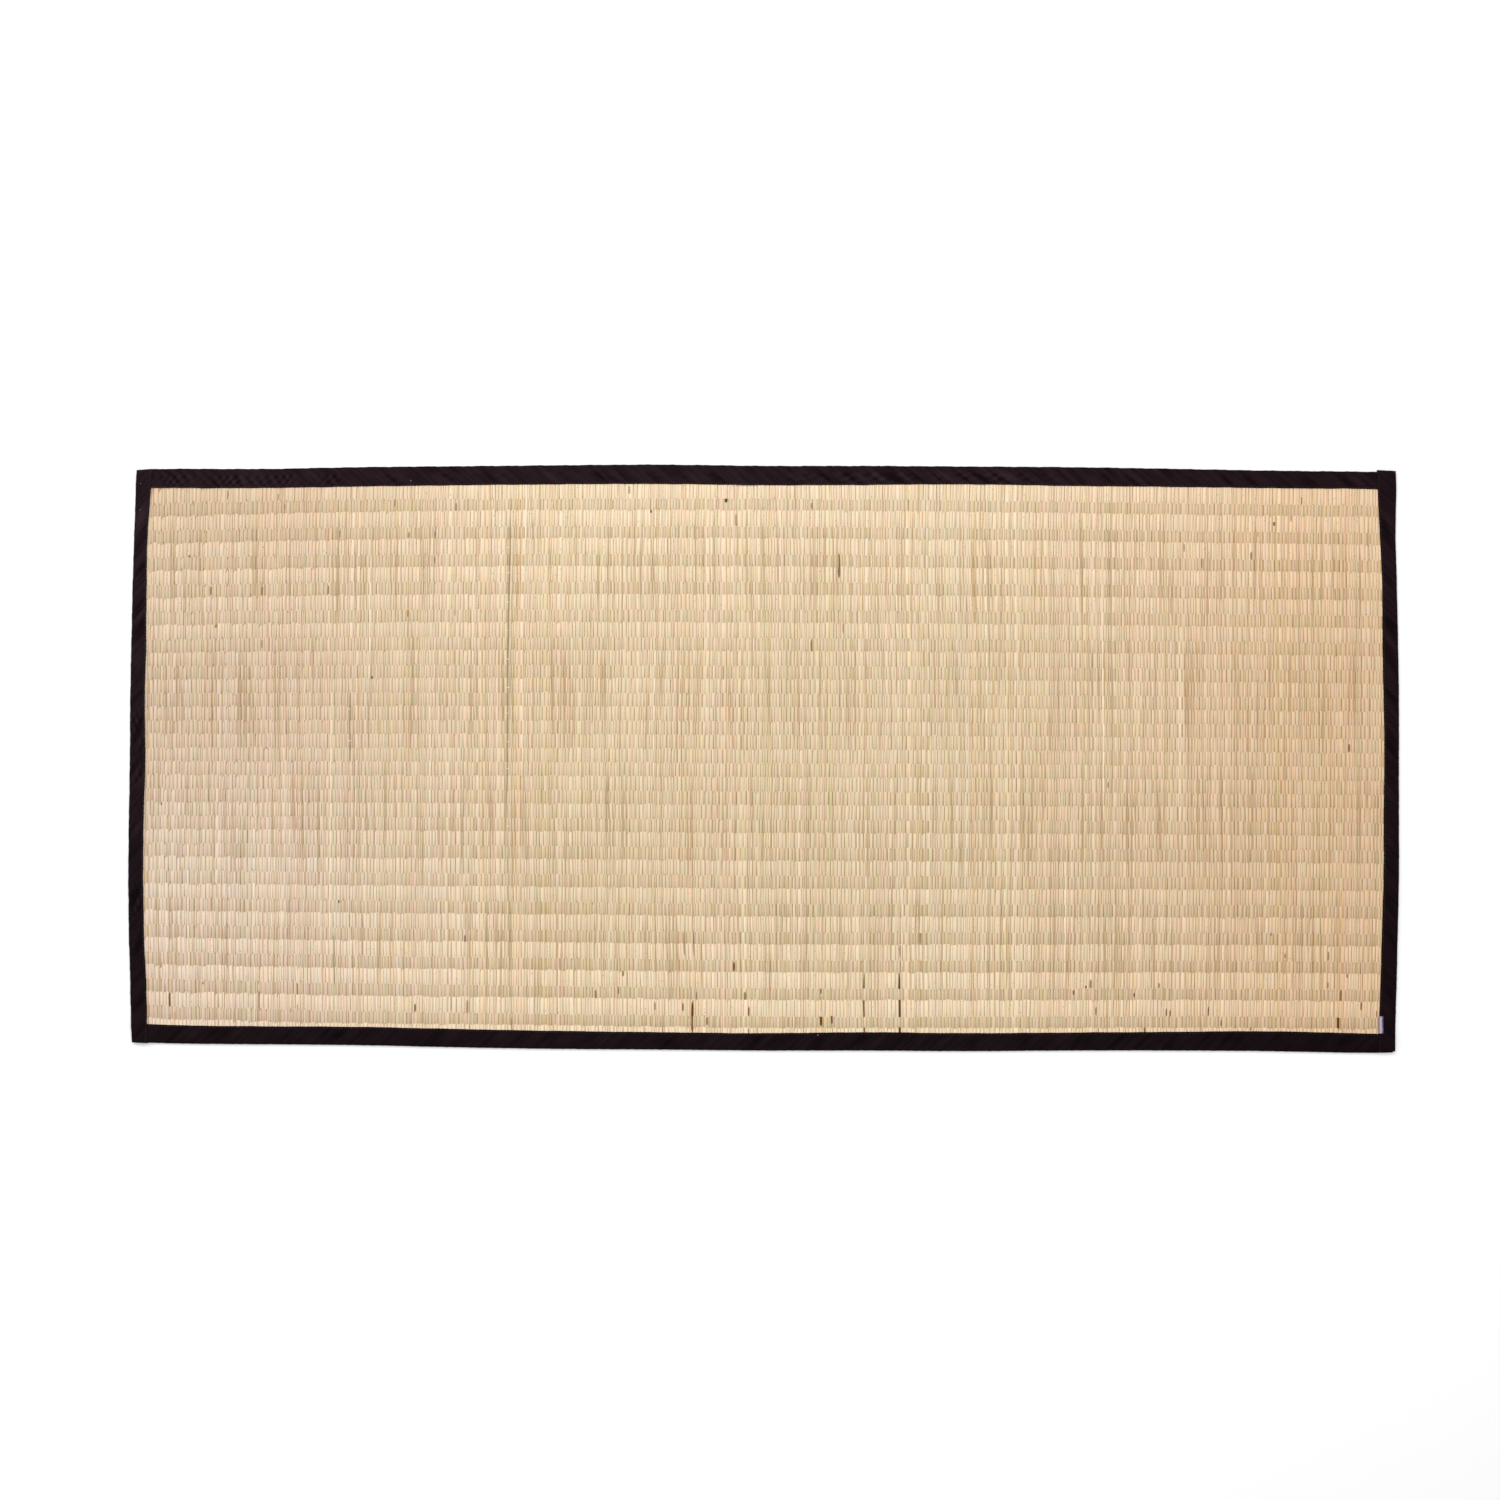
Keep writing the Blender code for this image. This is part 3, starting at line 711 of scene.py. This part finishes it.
def makeRushMaterial():
    material, tree, asked = newMaterial("rushStraw")
    look = rushLook
    tone = attribute(tree, "strawTone")
    pink, olive, seed = parts(tree, tone["Vector"])
    shade = attribute(tree, "strawShade")["Fac"]
    across = attribute(tree, "strawAcross")["Fac"]
    round_, lengthwise, _ = parts(tree, mapPlace(tree, "strawGrain"))
    placeX, placeY, _ = parts(tree, objectPlace(tree))

    def streaks(acrossScale, alongScale, detail):
        aside = maths(tree, "MULTIPLY_ADD", round_, acrossScale, times(tree, seed, 91.0))
        place = vector(tree, aside, times(tree, lengthwise, alongScale), times(tree, seed, 37.0))
        return noise(tree, place, 1.0, detail)

    broad, fine = streaks(*look["broadStreaks"]), streaks(*look["fineStreaks"])
    lightness = maths(tree, "MULTIPLY_ADD", tone["Alpha"], look["strawContrast"], shade)
    lightness = centred(tree, broad, look["streakContrast"] * 2, lightness)
    lightness = centred(tree, fine, look["streakContrast"], lightness)
    # Lines that run on from one straw to the next one's
    shared = flatNoise(tree, across, placeY, look["shared"])
    lightness = centred(tree, shared, look["sharedContrast"], lightness)
    colour = mixColours(tree, lightness, look["dark"], look["light"])
    unripe = ramp(tree, maths(tree, "SUBTRACT", 1.15, shade), 0.25, 1.0)
    colour = tinted(tree, times(tree, ramp(tree, olive, 0.45, 0.95), unripe), colour, look["olive"])
    pinker = centred(tree, flatNoise(tree, across, placeY, look["pinker"]), look["pinkContrast"], pink)
    colour = tinted(tree, ramp(tree, pinker, 0.55, 1.0), colour, look["pink"])
    golden = ramp(tree, maths(tree, "FRACT", times(tree, seed, 7.0)), 0.6, 1.0)
    colour = tinted(tree, golden, colour, look["gold"])
    for patch in patches:
        share = ramp(tree, flatNoise(tree, placeX, placeY, patch["stretch"]), 0.3, 0.7)
        colour = tinted(tree, 1.0, colour, mixColours(tree, share, patch["low"], patch["high"]))

    # Painted shade in the grooves between neighbouring straws, patchy along each straw; the same tint also
    # darkens split lines within the straws
    offside = maths(tree, "SUBTRACT", round_, 0.5)
    sideSeed = maths(tree, "MULTIPLY_ADD", maths(tree, "SIGN", offside), 4.3, times(tree, seed, 97.0))
    wearAndGrooveShade = ramp(tree, flatNoise(tree, sideSeed, lengthwise, look["grooveShadeNoise"]), 0.34, 0.72)
    paintedGrooveShade = times(tree, ramp(tree, maths(tree, "ABSOLUTE", offside), 0.185, 0.25), wearAndGrooveShade)
    splits = ramp(tree, flatNoise(tree, across, placeY, look["splits"]), 0.52, 0.65)
    colour = tinted(tree, maths(tree, "MAXIMUM", paintedGrooveShade, splits), colour, look["grooveShadeAndSplitTint"])
    toRight = ramp(tree, placeX, look["tintFrom"], look["tintTo"])
    toLeft = ramp(tree, placeX, -look["tintFrom"], -look["tintTo"])
    colour = tinted(tree, toRight, colour, look["rightTint"])
    colour = tinted(tree, toLeft, colour, colourStops(tree, placeY, leftTints))

    specks = flatNoise(tree, across, placeY, look["specks"], 0.0)
    specks = ramp(tree, specks, look["speckFrom"], look["speckTo"], 0.0, 0.8)
    specks = times(tree, specks, ramp(tree, shade, 0.4, 0.62, 0.3, 1.0))
    colour = mixColours(tree, specks, colour, look["speckBrown"])
    sheen = look["specular"]
    for i in range(rush["marksEach"]):
        mark = attribute(tree, "strawMark%d" % (i + 1))
        middle, reach, code = parts(tree, mark["Vector"])
        depth = maths(tree, "MODULO", code, 2.0)
        along = maths(tree, "DIVIDE", maths(tree, "SUBTRACT", placeY, middle), reach)
        width = maths(tree, "MULTIPLY_ADD", depth, look["markSpread"], look["markCore"])
        aside = maths(tree, "DIVIDE", maths(tree, "SUBTRACT", round_, mark["Alpha"]), width)
        blunt = maths(tree, "POWER", maths(tree, "ABSOLUTE", along), 4.0)
        away = maths(tree, "SQRT", maths(tree, "MULTIPLY_ADD", aside, aside, blunt))
        inMark = ramp(tree, centred(tree, fine, look["markFray"], away), 1.35, 0.75)
        inMark = times(tree, inMark, maths(tree, "MINIMUM", times(tree, depth, 1.2), 1.0))
        tint, *others = markTints.values()
        for number, other in enumerate(others, 1):
            tint = mixColours(tree, maths(tree, "GREATER_THAN", code, 2 * number - 0.001), tint, other)
        colour = mixColours(tree, inMark, colour, tint)
        sheen = times(tree, sheen, maths(tree, "SUBTRACT", 1.0, inMark))
    feed(tree, asked["Base Color"], colour)
    feed(tree, asked["Roughness"], ramp(tree, broad, 0.2, 0.8, *look["roughness"]))
    feed(tree, asked["Specular IOR Level"], sheen)
    height = maths(tree, "MULTIPLY_ADD", broad, look["broadBump"], fine)
    feed(tree, asked["Normal"], bumped(tree, height, look["bumpHeight"]))
    return material


# Cotton warps, stretched along the mat inside the straws
warp = {
    "radius": 0.5 * mm, "radiusShare": 0.14, "sides": 4, "steps": 26,
    "dark": (0.496, 0.44, 0.352, 1), "light": (0.62, 0.55, 0.44, 1), "fluff": (900.0, 2.0), "roughness": 0.9,
}


def makeWarps():
    count, steps = ribs["count"] + 2, warp["steps"]
    turn = np.arange(-1, ribs["count"] + 1)[:, None] + np.zeros((1, steps))
    start = tapes["left"]["outer"](0) + 2 * rush["insetX"]
    end = tapes["right"]["outer"](0) - 2 * rush["insetX"]
    px = np.linspace(0, 1, steps)[None, :] * (end - start) + start + np.zeros((count, 1))
    py = ribY(px, turn)
    px = np.clip(px, tapes["left"]["outer"](py) + rush["insetX"], tapes["right"]["outer"](py) - rush["insetX"])
    low, high = sheetHeights(px, py)
    pz = (low + high) / 2
    radius = np.minimum(warp["radius"], (high - low) * warp["radiusShare"])
    turns = [-2 * math.pi * (i + 0.5) / warp["sides"] for i in range(warp["sides"])]
    ring = [np.stack([px, py + radius * math.cos(a), pz + radius * math.sin(a)], axis=-1) for a in turns]
    points = np.stack(ring, axis=2)
    faces = tubeFaces(count, steps, warp["sides"])
    material = yarnMaterial("warpCotton", warp)
    made = meshFromFaces("warp_threads", points.reshape(-1, 3), faces, material)
    return made


def makeRush():
    material = makeRushMaterial()
    straws = makeStraws()
    marks = placeMarks(straws)
    warps = makeWarps()
    order = np.arange(straws["count"])
    sets = []
    for kind, name in enumerate(("roots_up", "roots_down")):
        for half in range(2):
            chosen = order[(order % 2 == kind) & (order // 2 % 2 == half)]
            made, area, length = strawSet("rush_%s_%d" % (name, half + 1), straws, chosen, marks, material)
            width = float(tapes["right"]["outer"](0) - tapes["left"]["outer"](0))
            sets.append(made)
            print(made.name, len(made.data.polygons), "faces, flat area", round(area, 3))
    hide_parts("rush_panel")
    return sets + [warps]


# Binding: cotton tape folded over each side and sewn down, a little puckered by the seam
tape = {
    "thick": 1.0 * mm, "step": 3.0 * mm, "foldSteps": 8, "cavitySteps": 4, "tipRound": 0.4 * mm, "mapRows": 5,
    "seam": 2.2 * mm, "seamSide": 1.2 * mm, "seamDepth": 0.28 * mm, "skewReach": 14 * mm,
    "innerReach": {"top": 1.6 * mm, "bottom": 1.6 * mm, "left": 0.5 * mm, "right": 1.1 * mm},
    "outerReach": {"top": 0, "bottom": 1.3 * mm, "left": 0, "right": 0.7 * mm},
    "edgeWave": 0.35 * mm, "edgeWaves": (0.037, 0.061, 0.103, 0.17), "scallop": 0.35 * mm,
    "foldWave": {"top": 0.6 * mm, "bottom": 0.3 * mm, "left": 0.35 * mm, "right": 0.2 * mm},
    "foldWaves": (0.013, 0.019, 0.043, 0.09), "shownWidth": 22 * mm,
}
# Folds seen on the top leg: where along the strip in the photograph, and their spacing, slant and depth in mm
foldColumns = ("strip", "start", "end", "spacing", "slant", "depth")
folds = [
    ("top", 128, 345, 14, 0.8, 0.55), ("top", 345, 780, 46, 1.6, 0.30), ("top", 780, 1070, 34, 1.8, 0.60),
    ("top", 1070, 1390, 47, 1.2, 0.30), ("bottom", 130, 1390, 60, 1.1, 0.25),
    ("left", 480, 690, 55, 1.6, 0.35), ("left", 690, 790, 42, 2.6, 0.80), ("left", 790, 870, 55, 2.2, 0.40),
    ("left", 870, 960, 42, 2.6, 0.80), ("left", 960, 1040, 50, 1.6, 0.35), ("right", 480, 1050, 64, 1.4, 0.30),
]


# Gentle waves of several lengths along a run, the same on every call
def waves(at, seed, lengths):
    random = np.random.default_rng(seed)
    total = np.zeros_like(at)
    for length in lengths:
        total += np.sin(2 * math.pi * at / length + random.random() * 6.3) * (0.5 + random.random())
    return total / len(lengths)


def foldHeight(name, along, fromInner):
    height = np.zeros_like(along)
    middle = np.sin(math.pi * np.clip(fromInner / tape["shownWidth"], 0, 1)) ** 0.7
    for i, fold in enumerate(named(foldColumns, folds)):
        if fold["strip"] != name:
            continue
        run = tapes[name]["run"]
        limits = sorted(fromPhoto(at, at)[run] for at in (fold["start"], fold["end"]))
        spacing = fold["spacing"] * mm
        shown = np.clip((along - limits[0]) / spacing, 0, 1) * np.clip((limits[1] - along) / spacing, 0, 1)
        slanted = along + fold["slant"] * fromInner
        slanted = slanted + spacing * 0.35 * waves(slanted, 70 + i, (0.09, 0.21, 0.047))
        swell = 0.65 + 0.5 * waves(along, 90 + i, (0.083, 0.19))
        height += fold["depth"] * mm * shown * swell * middle * np.sin(2 * math.pi * slanted / spacing)
    return height


# The tape's cross-section from the top leg's inner edge, out round the fold and back inside: how far, how high
def tapeRing(width, low, high):
    thick, tip = tape["thick"], tape["tipRound"]
    radius, middle = (high - low) / 2, (high + low) / 2
    bend = width - radius
    seamStart, seamEnd = tape["seam"] - tape["seamSide"], tape["seam"] + tape["seamSide"]
    seam = [(0, tip), (tip, 0), (seamStart, 0), (tape["seam"], tape["seamDepth"]), (seamEnd, 0)]
    reach = [seamEnd + share * (bend - seamEnd) for share in (0.25, 0.5, 0.75)]
    ring = [(out + 0 * width, high - dip) for out, dip in seam] + [(out, high) for out in reach]
    for turn in np.linspace(math.pi / 2, -math.pi / 2, tape["foldSteps"] + 1):
        ring.append((bend + radius * math.cos(turn), middle + radius * math.sin(turn)))
    ring += [(out, low) for out in reach[1::-1]] + [(out + 0 * width, low + dip) for out, dip in seam[::-1]]
    ring += [(0 * width, low + thick - tip), (tip + 0 * width, low + thick)]
    for turn in np.linspace(-math.pi / 2, math.pi / 2, tape["cavitySteps"] + 1):
        ring.append((bend + (radius - thick) * math.cos(turn), middle + (radius - thick) * math.sin(turn)))
    ring += [(reach[1], high - thick), (tip + 0 * width, high - thick), (0 * width, high - thick + tip)]
    return np.stack([r[0] for r in ring], axis=1), np.stack([r[1] for r in ring], axis=1)


# Where a point of a strip lies: along its run from the inner edge's own end, and out from the inner edge
def stripPlace(name, along, fromInner):
    given = tapes[name]
    (outerStart, innerStart), (outerEnd, innerEnd) = given["ends"]
    nearStart = np.clip(1 - (along - innerStart) / tape["skewReach"], 0, 1)
    nearEnd = np.clip(1 - (innerEnd - along) / tape["skewReach"], 0, 1)
    skew = (outerStart - innerStart) * nearStart + (outerEnd - innerEnd) * nearEnd
    clear = np.minimum(1 - nearStart, 1 - nearEnd)
    seed = 10 * list(tapes).index(name)
    scallop = tape["scallop"] * np.abs(np.sin(math.pi * along / stitch["pitch"]))
    inner = given["inner"](along) - given["outward"] * (tape["innerReach"][name] + scallop)
    inner = inner + clear * tape["edgeWave"] * waves(along, seed + 1, tape["edgeWaves"])
    outer = given["outer"](along + skew) + given["outward"] * tape["outerReach"][name]
    outer = outer + clear * tape["foldWave"][name] * waves(along, seed + 2, tape["foldWaves"])
    width = np.abs(outer - inner)
    share = fromInner / width
    place = [None, None]
    place[given["run"]] = along + skew * share
    place[1 - given["run"]] = inner + given["outward"] * fromInner
    return place[x], place[y], width


# Stitches along each seam, the few run off the tape's end onto the straw, and bits of pale lint
stitch = {"pitch": 5.0 * mm, "length": 3.5 * mm, "radius": 0.24 * mm, "sunk": 0.06 * mm}
runOffColumns = ("startX", "startY", "endX", "endY")
runOffs = [(1310, 487, 1377, 489.5), (150, 487, 176, 487), (734, 486, 757, 486)]
lintColumns = ("px", "py", "length", "turn")
lint = [
    (1378.5, 474.5, 3.2, 10), (411, 480.6, 1.8, 70), (818, 1035, 1.8, -15), (141, 484, 1.2, 40),
    (140.5, 509.8, 1.3, 95),
]
sewingLook = {
    "dark": (0.010, 0.007, 0.008, 1), "light": (0.028, 0.021, 0.024, 1),
    "fluff": (700.0, 1.0), "roughness": 0.6,
}
lintLook = {
    "dark": (0.66, 0.62, 0.56, 1), "light": (0.95, 0.93, 0.90, 1), "fluff": (500.0, 1.0), "roughness": 0.9,
}


def makeTape(name, material):
    given = tapes[name]
    direction = given["outward"] if given["run"] == x else -given["outward"]
    start, end = (e[1] for e in given["ends"])
    steps = tape["mapRows"] * math.ceil((end - start) / tape["step"] / tape["mapRows"])
    along = np.linspace(start, end, steps + 1)[::int(direction)]
    _, _, width = stripPlace(name, along, np.zeros_like(along))
    low, high = given["low"](along), given["high"](along)
    out, height = tapeRing(width, low, high)
    px, py, _ = stripPlace(name, along[:, None] + 0 * out, out)
    onTop = np.clip((height - (low + high)[:, None] / 2) / (0.3 * (high - low))[:, None], 0, 1)
    lift = onTop * foldHeight(name, along[:, None] + 0 * out, out)
    height = height + lift
    points = np.stack([px, py, height], axis=-1)
    made = meshFromFaces("tape_" + name, points.reshape(-1, 3), tubeFaces(1, *out.shape), material)

    middle = points[steps // 2]
    lengths = np.linalg.norm(np.roll(middle, -1, axis=0) - middle, axis=1)
    round_ = np.concatenate([[0], np.cumsum(lengths)])
    ends = [np.stack([along[i] + out[i], height[i]], axis=-1) for i in (0, -1)]
    addMap(made, "clothPlace", [tubePlaces(round_[None, :], along[None, :]), ends[0], ends[1][::-1]])
    rows = tape["mapRows"]
    strips = np.arange(rows)[:, None]
    across = (0.96 * (strips + 0.03 + 0.94 * round_[None, :] / round_[-1])) / rows
    reach = 0.01 + 0.98 * np.linspace(0, 1, steps // rows + 1)[None, :] + 0 * strips
    capSize = 0.6 / width.max() * 0.03
    capPlaces = ((0, 0.05), (-1, 0.55))
    caps = [np.stack([0.968 + height[i] * capSize, at + out[i] * capSize], axis=-1) for i, at in capPlaces]
    addMap(made, "OFBake", [tubePlaces(across, reach), caps[0], caps[1][::-1]])
    # Painted light and shade on the folds: lighter on their crests and on slopes facing one way, darker in
    # their hollows
    slope = np.gradient(lift, tape["step"], axis=0) * direction
    addAttribute(made, "foldPaintedShading", "FLOAT", (slope * 2.2 + lift / (1.2 * mm)).clip(-1, 1))
    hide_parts("binding_" + name)
    print(made.name, len(made.data.polygons), "faces")


# Short threads joined into one mesh, each lying along its own direction
def makeThreads(name, middles, directions, lengths, radius, material):
    middles, directions = np.asarray(middles, float), np.asarray(directions, float)
    directions = directions / np.linalg.norm(directions, axis=1)[:, None]
    lengths = np.zeros(len(middles)) + lengths
    radius = (np.zeros(len(middles)) + radius)[:, None]
    aside = np.cross(directions, (0, 0, 1.0))
    upward = np.cross(aside, directions)
    rows = []
    for along, thick, drop in ((-0.5, 0.45, 0.5), (-0.28, 1, 0), (0.28, 1, 0), (0.5, 0.45, 0.5)):
        centre = middles + directions * (along * lengths)[:, None] - upward * drop * radius
        ring = [(1, 0), (0, 1), (-1, 0), (0, -1)]
        rows.append(np.stack([centre + (aside * a + upward * b) * thick * radius for a, b in ring], axis=1))
    points = np.stack(rows, axis=1)
    return meshFromFaces(name, points.reshape(-1, 3), tubeFaces(len(middles), 4, 4), material)


def seamPoints(name, onTop):
    given = tapes[name]
    start, end = (e[1] for e in given["ends"])
    along = np.arange(start + 0.8 * stitch["pitch"], end - 0.5 * stitch["pitch"], stitch["pitch"])
    random = np.random.default_rng(len(name) + 20 * onTop)
    fromInner = tape["seam"] + random.normal(0, 0.12 * mm, len(along))
    px, py, _ = stripPlace(name, along, fromInner)
    height = given["low"](along) + tape["seamDepth"]
    if onTop:
        height = given["high"](along) - tape["seamDepth"] + foldHeight(name, along, fromInner)
        height = height + stitch["radius"] - stitch["sunk"]
    aside = random.normal(0, 0.05, len(along))
    direction = np.stack([1 + 0 * aside, aside, 0 * aside], axis=1)
    if given["run"] == y:
        direction = direction[:, [1, 0, 2]]
    return np.stack([px, py, height], axis=1), direction


def makeSewing():
    found = [seamPoints(name, onTop) for name in tapes for onTop in (True, False)]
    middles, directions = (np.concatenate([f[i] for f in found]) for i in (0, 1))
    offs = []
    for run in named(runOffColumns, runOffs):
        (ax, ay), (bx, by) = fromPhoto(run["startX"], run["startY"]), fromPhoto(run["endX"], run["endY"])
        wide, tall = bx - ax, by - ay
        count = max(2, round(math.hypot(wide, tall) / stitch["pitch"]))
        height = ribs["crest"] + 0.1 * mm
        for i in range(count + 1):
            offs.append((ax + wide * i / count, ay + tall * i / count, height, wide, tall, 0))
    offs = np.array(offs)
    middles = np.concatenate([middles, offs[:, :3]])
    directions = np.concatenate([directions, offs[:, 3:]])
    thread = yarnMaterial("sewingThread", sewingLook)
    sewing = makeThreads("seam_stitches", middles, directions, stitch["length"], stitch["radius"], thread)

    tops, turned, lengths, radii = [], [], [], []
    for bit in named(lintColumns, lint):
        spot = fromPhoto(bit["px"], bit["py"])

        def fromEdge(given):
            return abs(given["outer"](spot[given["run"]]) - spot[1 - given["run"]])

        near = min(tapes.values(), key=fromEdge)
        tops.append((*spot, near["high"](spot[near["run"]]) + 0.2 * mm))
        turned.append((math.cos(math.radians(bit["turn"])), math.sin(math.radians(bit["turn"])), 0))
        lengths.append(bit["length"] * mm)
        radii.append(0.22 * mm)
    # Bits of the warp bulge up where a straw is missing
    for i, shown in enumerate(named(warpShowsColumns, warpShows)):
        bx, by = fromPhoto(shown["px"], shown["py"])
        lean = 0.5 if i % 2 else -0.4
        tops += [(bx - 0.9 * mm, by, ribs["crest"]), (bx + 1.0 * mm, by + lean * mm, ribs["crest"])]
        turned += [(1, lean, 0), (1, -2 * lean, 0)]
        lengths += [2.6 * mm, 2.4 * mm]
        radii += [0.55 * mm, 0.55 * mm]
    fluff = makeThreads("pale_lint", tops, turned, lengths, radii, yarnMaterial("paleLint", lintLook))


clothLook = {
    "dark": (0.0050, 0.0012, 0.0022, 1), "light": (0.0300, 0.0165, 0.0215, 1), "threads": 900.0, "uneven": 0.5,
    "creaseSlant": 1.1, "creases": (95.0, 12.0, 0.0), "wearAndGrooveShade": (18.0, 40.0, 0.0),
    # Painted light and shade on the creases and folds, besides wear and weave tone
    "weaveShade": 0.25, "wornShade": 0.35, "creasePaintedShading": 1.0, "foldPaintedShading": 1.0,
    # Painted shade towards the bottom and towards the right
    "lowerPaintedShade": (0.55, 0.50, 0.52, 1), "rightTint": (0.76, 0.64, 0.66, 1),
    "roughness": 0.80, "specular": 0.05, "bumpHeight": 0.05 * mm, "creaseHeight": 1.1 * mm,
}


def makeBindings():
    material, tree, asked = newMaterial("bindingCotton")
    look = clothLook
    place = mapPlace(tree, "clothPlace")
    weave = placeGroup(tree, "clothWeave", Place=place, Threads=look["threads"], Unevenness=look["uneven"])
    across, along, _ = parts(tree, place)
    slanted = maths(tree, "MULTIPLY_ADD", across, look["creaseSlant"], along)
    creases = flatNoise(tree, slanted, across, look["creases"], 2.0)
    wearAndGrooveShade = flatNoise(tree, along, across, look["wearAndGrooveShade"], 3.0)
    tone = times(tree, wearAndGrooveShade, look["wornShade"])
    tone = maths(tree, "MULTIPLY_ADD", weave["Shade"], look["weaveShade"], tone)
    # Painted light and shade: lighter on the creases' and folds' ridges, darker in their hollows, as their
    # bumps would be lit
    tone = centred(tree, creases, look["creasePaintedShading"], tone)
    tone = maths(tree, "MULTIPLY_ADD", attribute(tree, "foldPaintedShading")["Fac"], look["foldPaintedShading"], tone)
    colour = mixColours(tree, tone, look["dark"], look["light"])
    placeX, placeY, _ = parts(tree, objectPlace(tree))
    # Painted shade: the binding darker towards the bottom, and darker and redder towards the right
    colour = tinted(tree, ramp(tree, placeY, 0.40, -0.40), colour, look["lowerPaintedShade"])
    colour = tinted(tree, ramp(tree, placeX, 0.30, 0.98), colour, look["rightTint"])
    feed(tree, asked["Base Color"], colour)
    feed(tree, asked["Roughness"], look["roughness"])
    feed(tree, asked["Specular IOR Level"], look["specular"])
    creased = bumped(tree, creases, look["creaseHeight"])
    feed(tree, asked["Normal"], bumped(tree, weave["Height"], look["bumpHeight"], creased))
    for name in tapes:
        makeTape(name, material)


# Tab at a corner, sewn over the right tape's inner edge, with a violet selvedge and nothing on it
tab = {
    "across": 12, "along": 30, "thick": 0.7 * mm, "ripple": 0.12 * mm, "turnedIn": 1.3 * mm,
    "rounded": 2.2 * mm, "narrower": 0.28, "sunk": 0.15 * mm, "edgeWave": 0.25 * mm,
    "pale": (0.52, 0.44, 0.51, 1), "lilac": (0.17, 0.12, 0.21, 1), "violet": (0.060, 0.028, 0.105, 1),
    "greyEdge": (0.20, 0.16, 0.18, 1), "threads": 1300.0, "uneven": 0.5, "mottle": 520.0,
    "roughness": 0.75, "bumpHeight": 0.08 * mm,
}


def makeTabMaterial():
    material, tree, asked = newMaterial("tabCloth")
    place = mapPlace(tree, "clothPlace")
    share = parts(tree, mapPlace(tree, "tabShare"))
    weave = placeGroup(tree, "clothWeave", Place=place, Threads=tab["threads"], Unevenness=tab["uneven"])
    mottle = noise(tree, place, tab["mottle"])
    # Paler on the threads' crowns, from the weave's painted shade between threads, and in a mottle
    paleness = ramp(tree, maths(tree, "MULTIPLY_ADD", weave["Shade"], 0.3, mottle), 0.45, 0.85, 0.45, 0.85)
    colour = mixColours(tree, paleness, tab["lilac"], tab["pale"])
    frayed = centred(tree, mottle, 0.25, share[0])
    colour = mixColours(tree, ramp(tree, frayed, 0.62, 0.80), colour, tab["violet"])
    colour = mixColours(tree, ramp(tree, frayed, 0.26, 0.10), colour, tab["greyEdge"])
    colour = mixColours(tree, ramp(tree, share[1], 0.93, 1.0, 0.0, 0.7), colour, tab["lilac"])
    feed(tree, asked["Base Color"], colour)
    feed(tree, asked["Roughness"], tab["roughness"])
    feed(tree, asked["Normal"], bumped(tree, weave["Height"], tab["bumpHeight"]))
    return material


def makeTab():
    stations = stationsAlong(nodePoints("side_label"), y)
    at = [s[:, y].mean() for s in stations]
    tops = []
    for station in stations:
        columns = stationsAlong(station, x) if np.ptp(station[:, x]) > 6 * mm else [station]
        tops.append([(c[:, x].mean(), c[:, z].max()) for c in columns])
    places = [top[0] for heights in tops for top in heights]
    left, right = min(places), max(places)
    py = np.linspace(max(at), min(at), tab["along"])[:, None] + np.zeros((1, tab["across"]))
    px = np.linspace(left, right, tab["across"])[None, :] + 0 * py
    grid = np.zeros_like(px)
    for j in range(tab["along"]):
        levels = [np.interp(px[j], *zip(*heights)) for heights in tops]
        grid[j] = [np.interp(py[j, i], at, [level[i] for level in levels]) for i in range(tab["across"])]
    rounding = np.clip((py - max(at) + tab["rounded"]) / tab["rounded"], 0, 1) ** 2
    middle = (left + right) / 2
    px = middle + (px - middle) * (1 - tab["narrower"] * rounding)
    px = px + tab["edgeWave"] * waves(py, 5, (0.009, 0.021))
    ripples = tab["ripple"] * (waves(py, 6, (0.006, 0.011)) + waves(px * 2 + py, 7, (0.005, 0.013)))
    grid = grid - tab["sunk"] + ripples
    topSide = np.stack([px, py, grid], axis=-1)
    underSide = np.stack([px, py, grid - tab["thick"]], axis=-1)[:, ::-1]
    points = np.concatenate([topSide, underSide], axis=1)
    made = meshFromFaces("bare_tab", points.reshape(-1, 3), tubeFaces(1, *points.shape[:2]), makeTabMaterial())
    turned = px[0, -1] + tab["thick"]
    back = turned + np.ptp(px[0]) * np.linspace(0, 1, tab["across"])
    round_ = np.concatenate([px[0], [turned], back]) - px[0, 0]
    ends = [np.stack([round_[:-1], np.full(len(round_) - 1, py[i, 0])], axis=-1) for i in (0, -1)]
    addMap(made, "clothPlace", [tubePlaces(round_[None, :], py[None, :, 0]), ends[0], ends[1]])
    share = np.concatenate([np.linspace(0, 1, tab["across"]), np.linspace(1, 0, tab["across"]), [0.0]])
    reach = np.linspace(1, 0, tab["along"])
    ends = [np.stack([share[:-1], np.full(len(share) - 1, r)], axis=-1) for r in (1.0, 0.0)]
    addMap(made, "tabShare", [tubePlaces(share[None, :], reach[None, :]), ends[0], ends[1][::-1]])
    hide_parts("side_label")
    print("tab made,", len(made.data.polygons), "faces")


makeCamera()
makeStudio()
makeClothWeave()
makeSpunYarn()
print("camera, light and shared effects made")
makeRush()
print("rush woven")
makeBindings()
makeSewing()
makeTab()
print("binding, sewing and tab made")
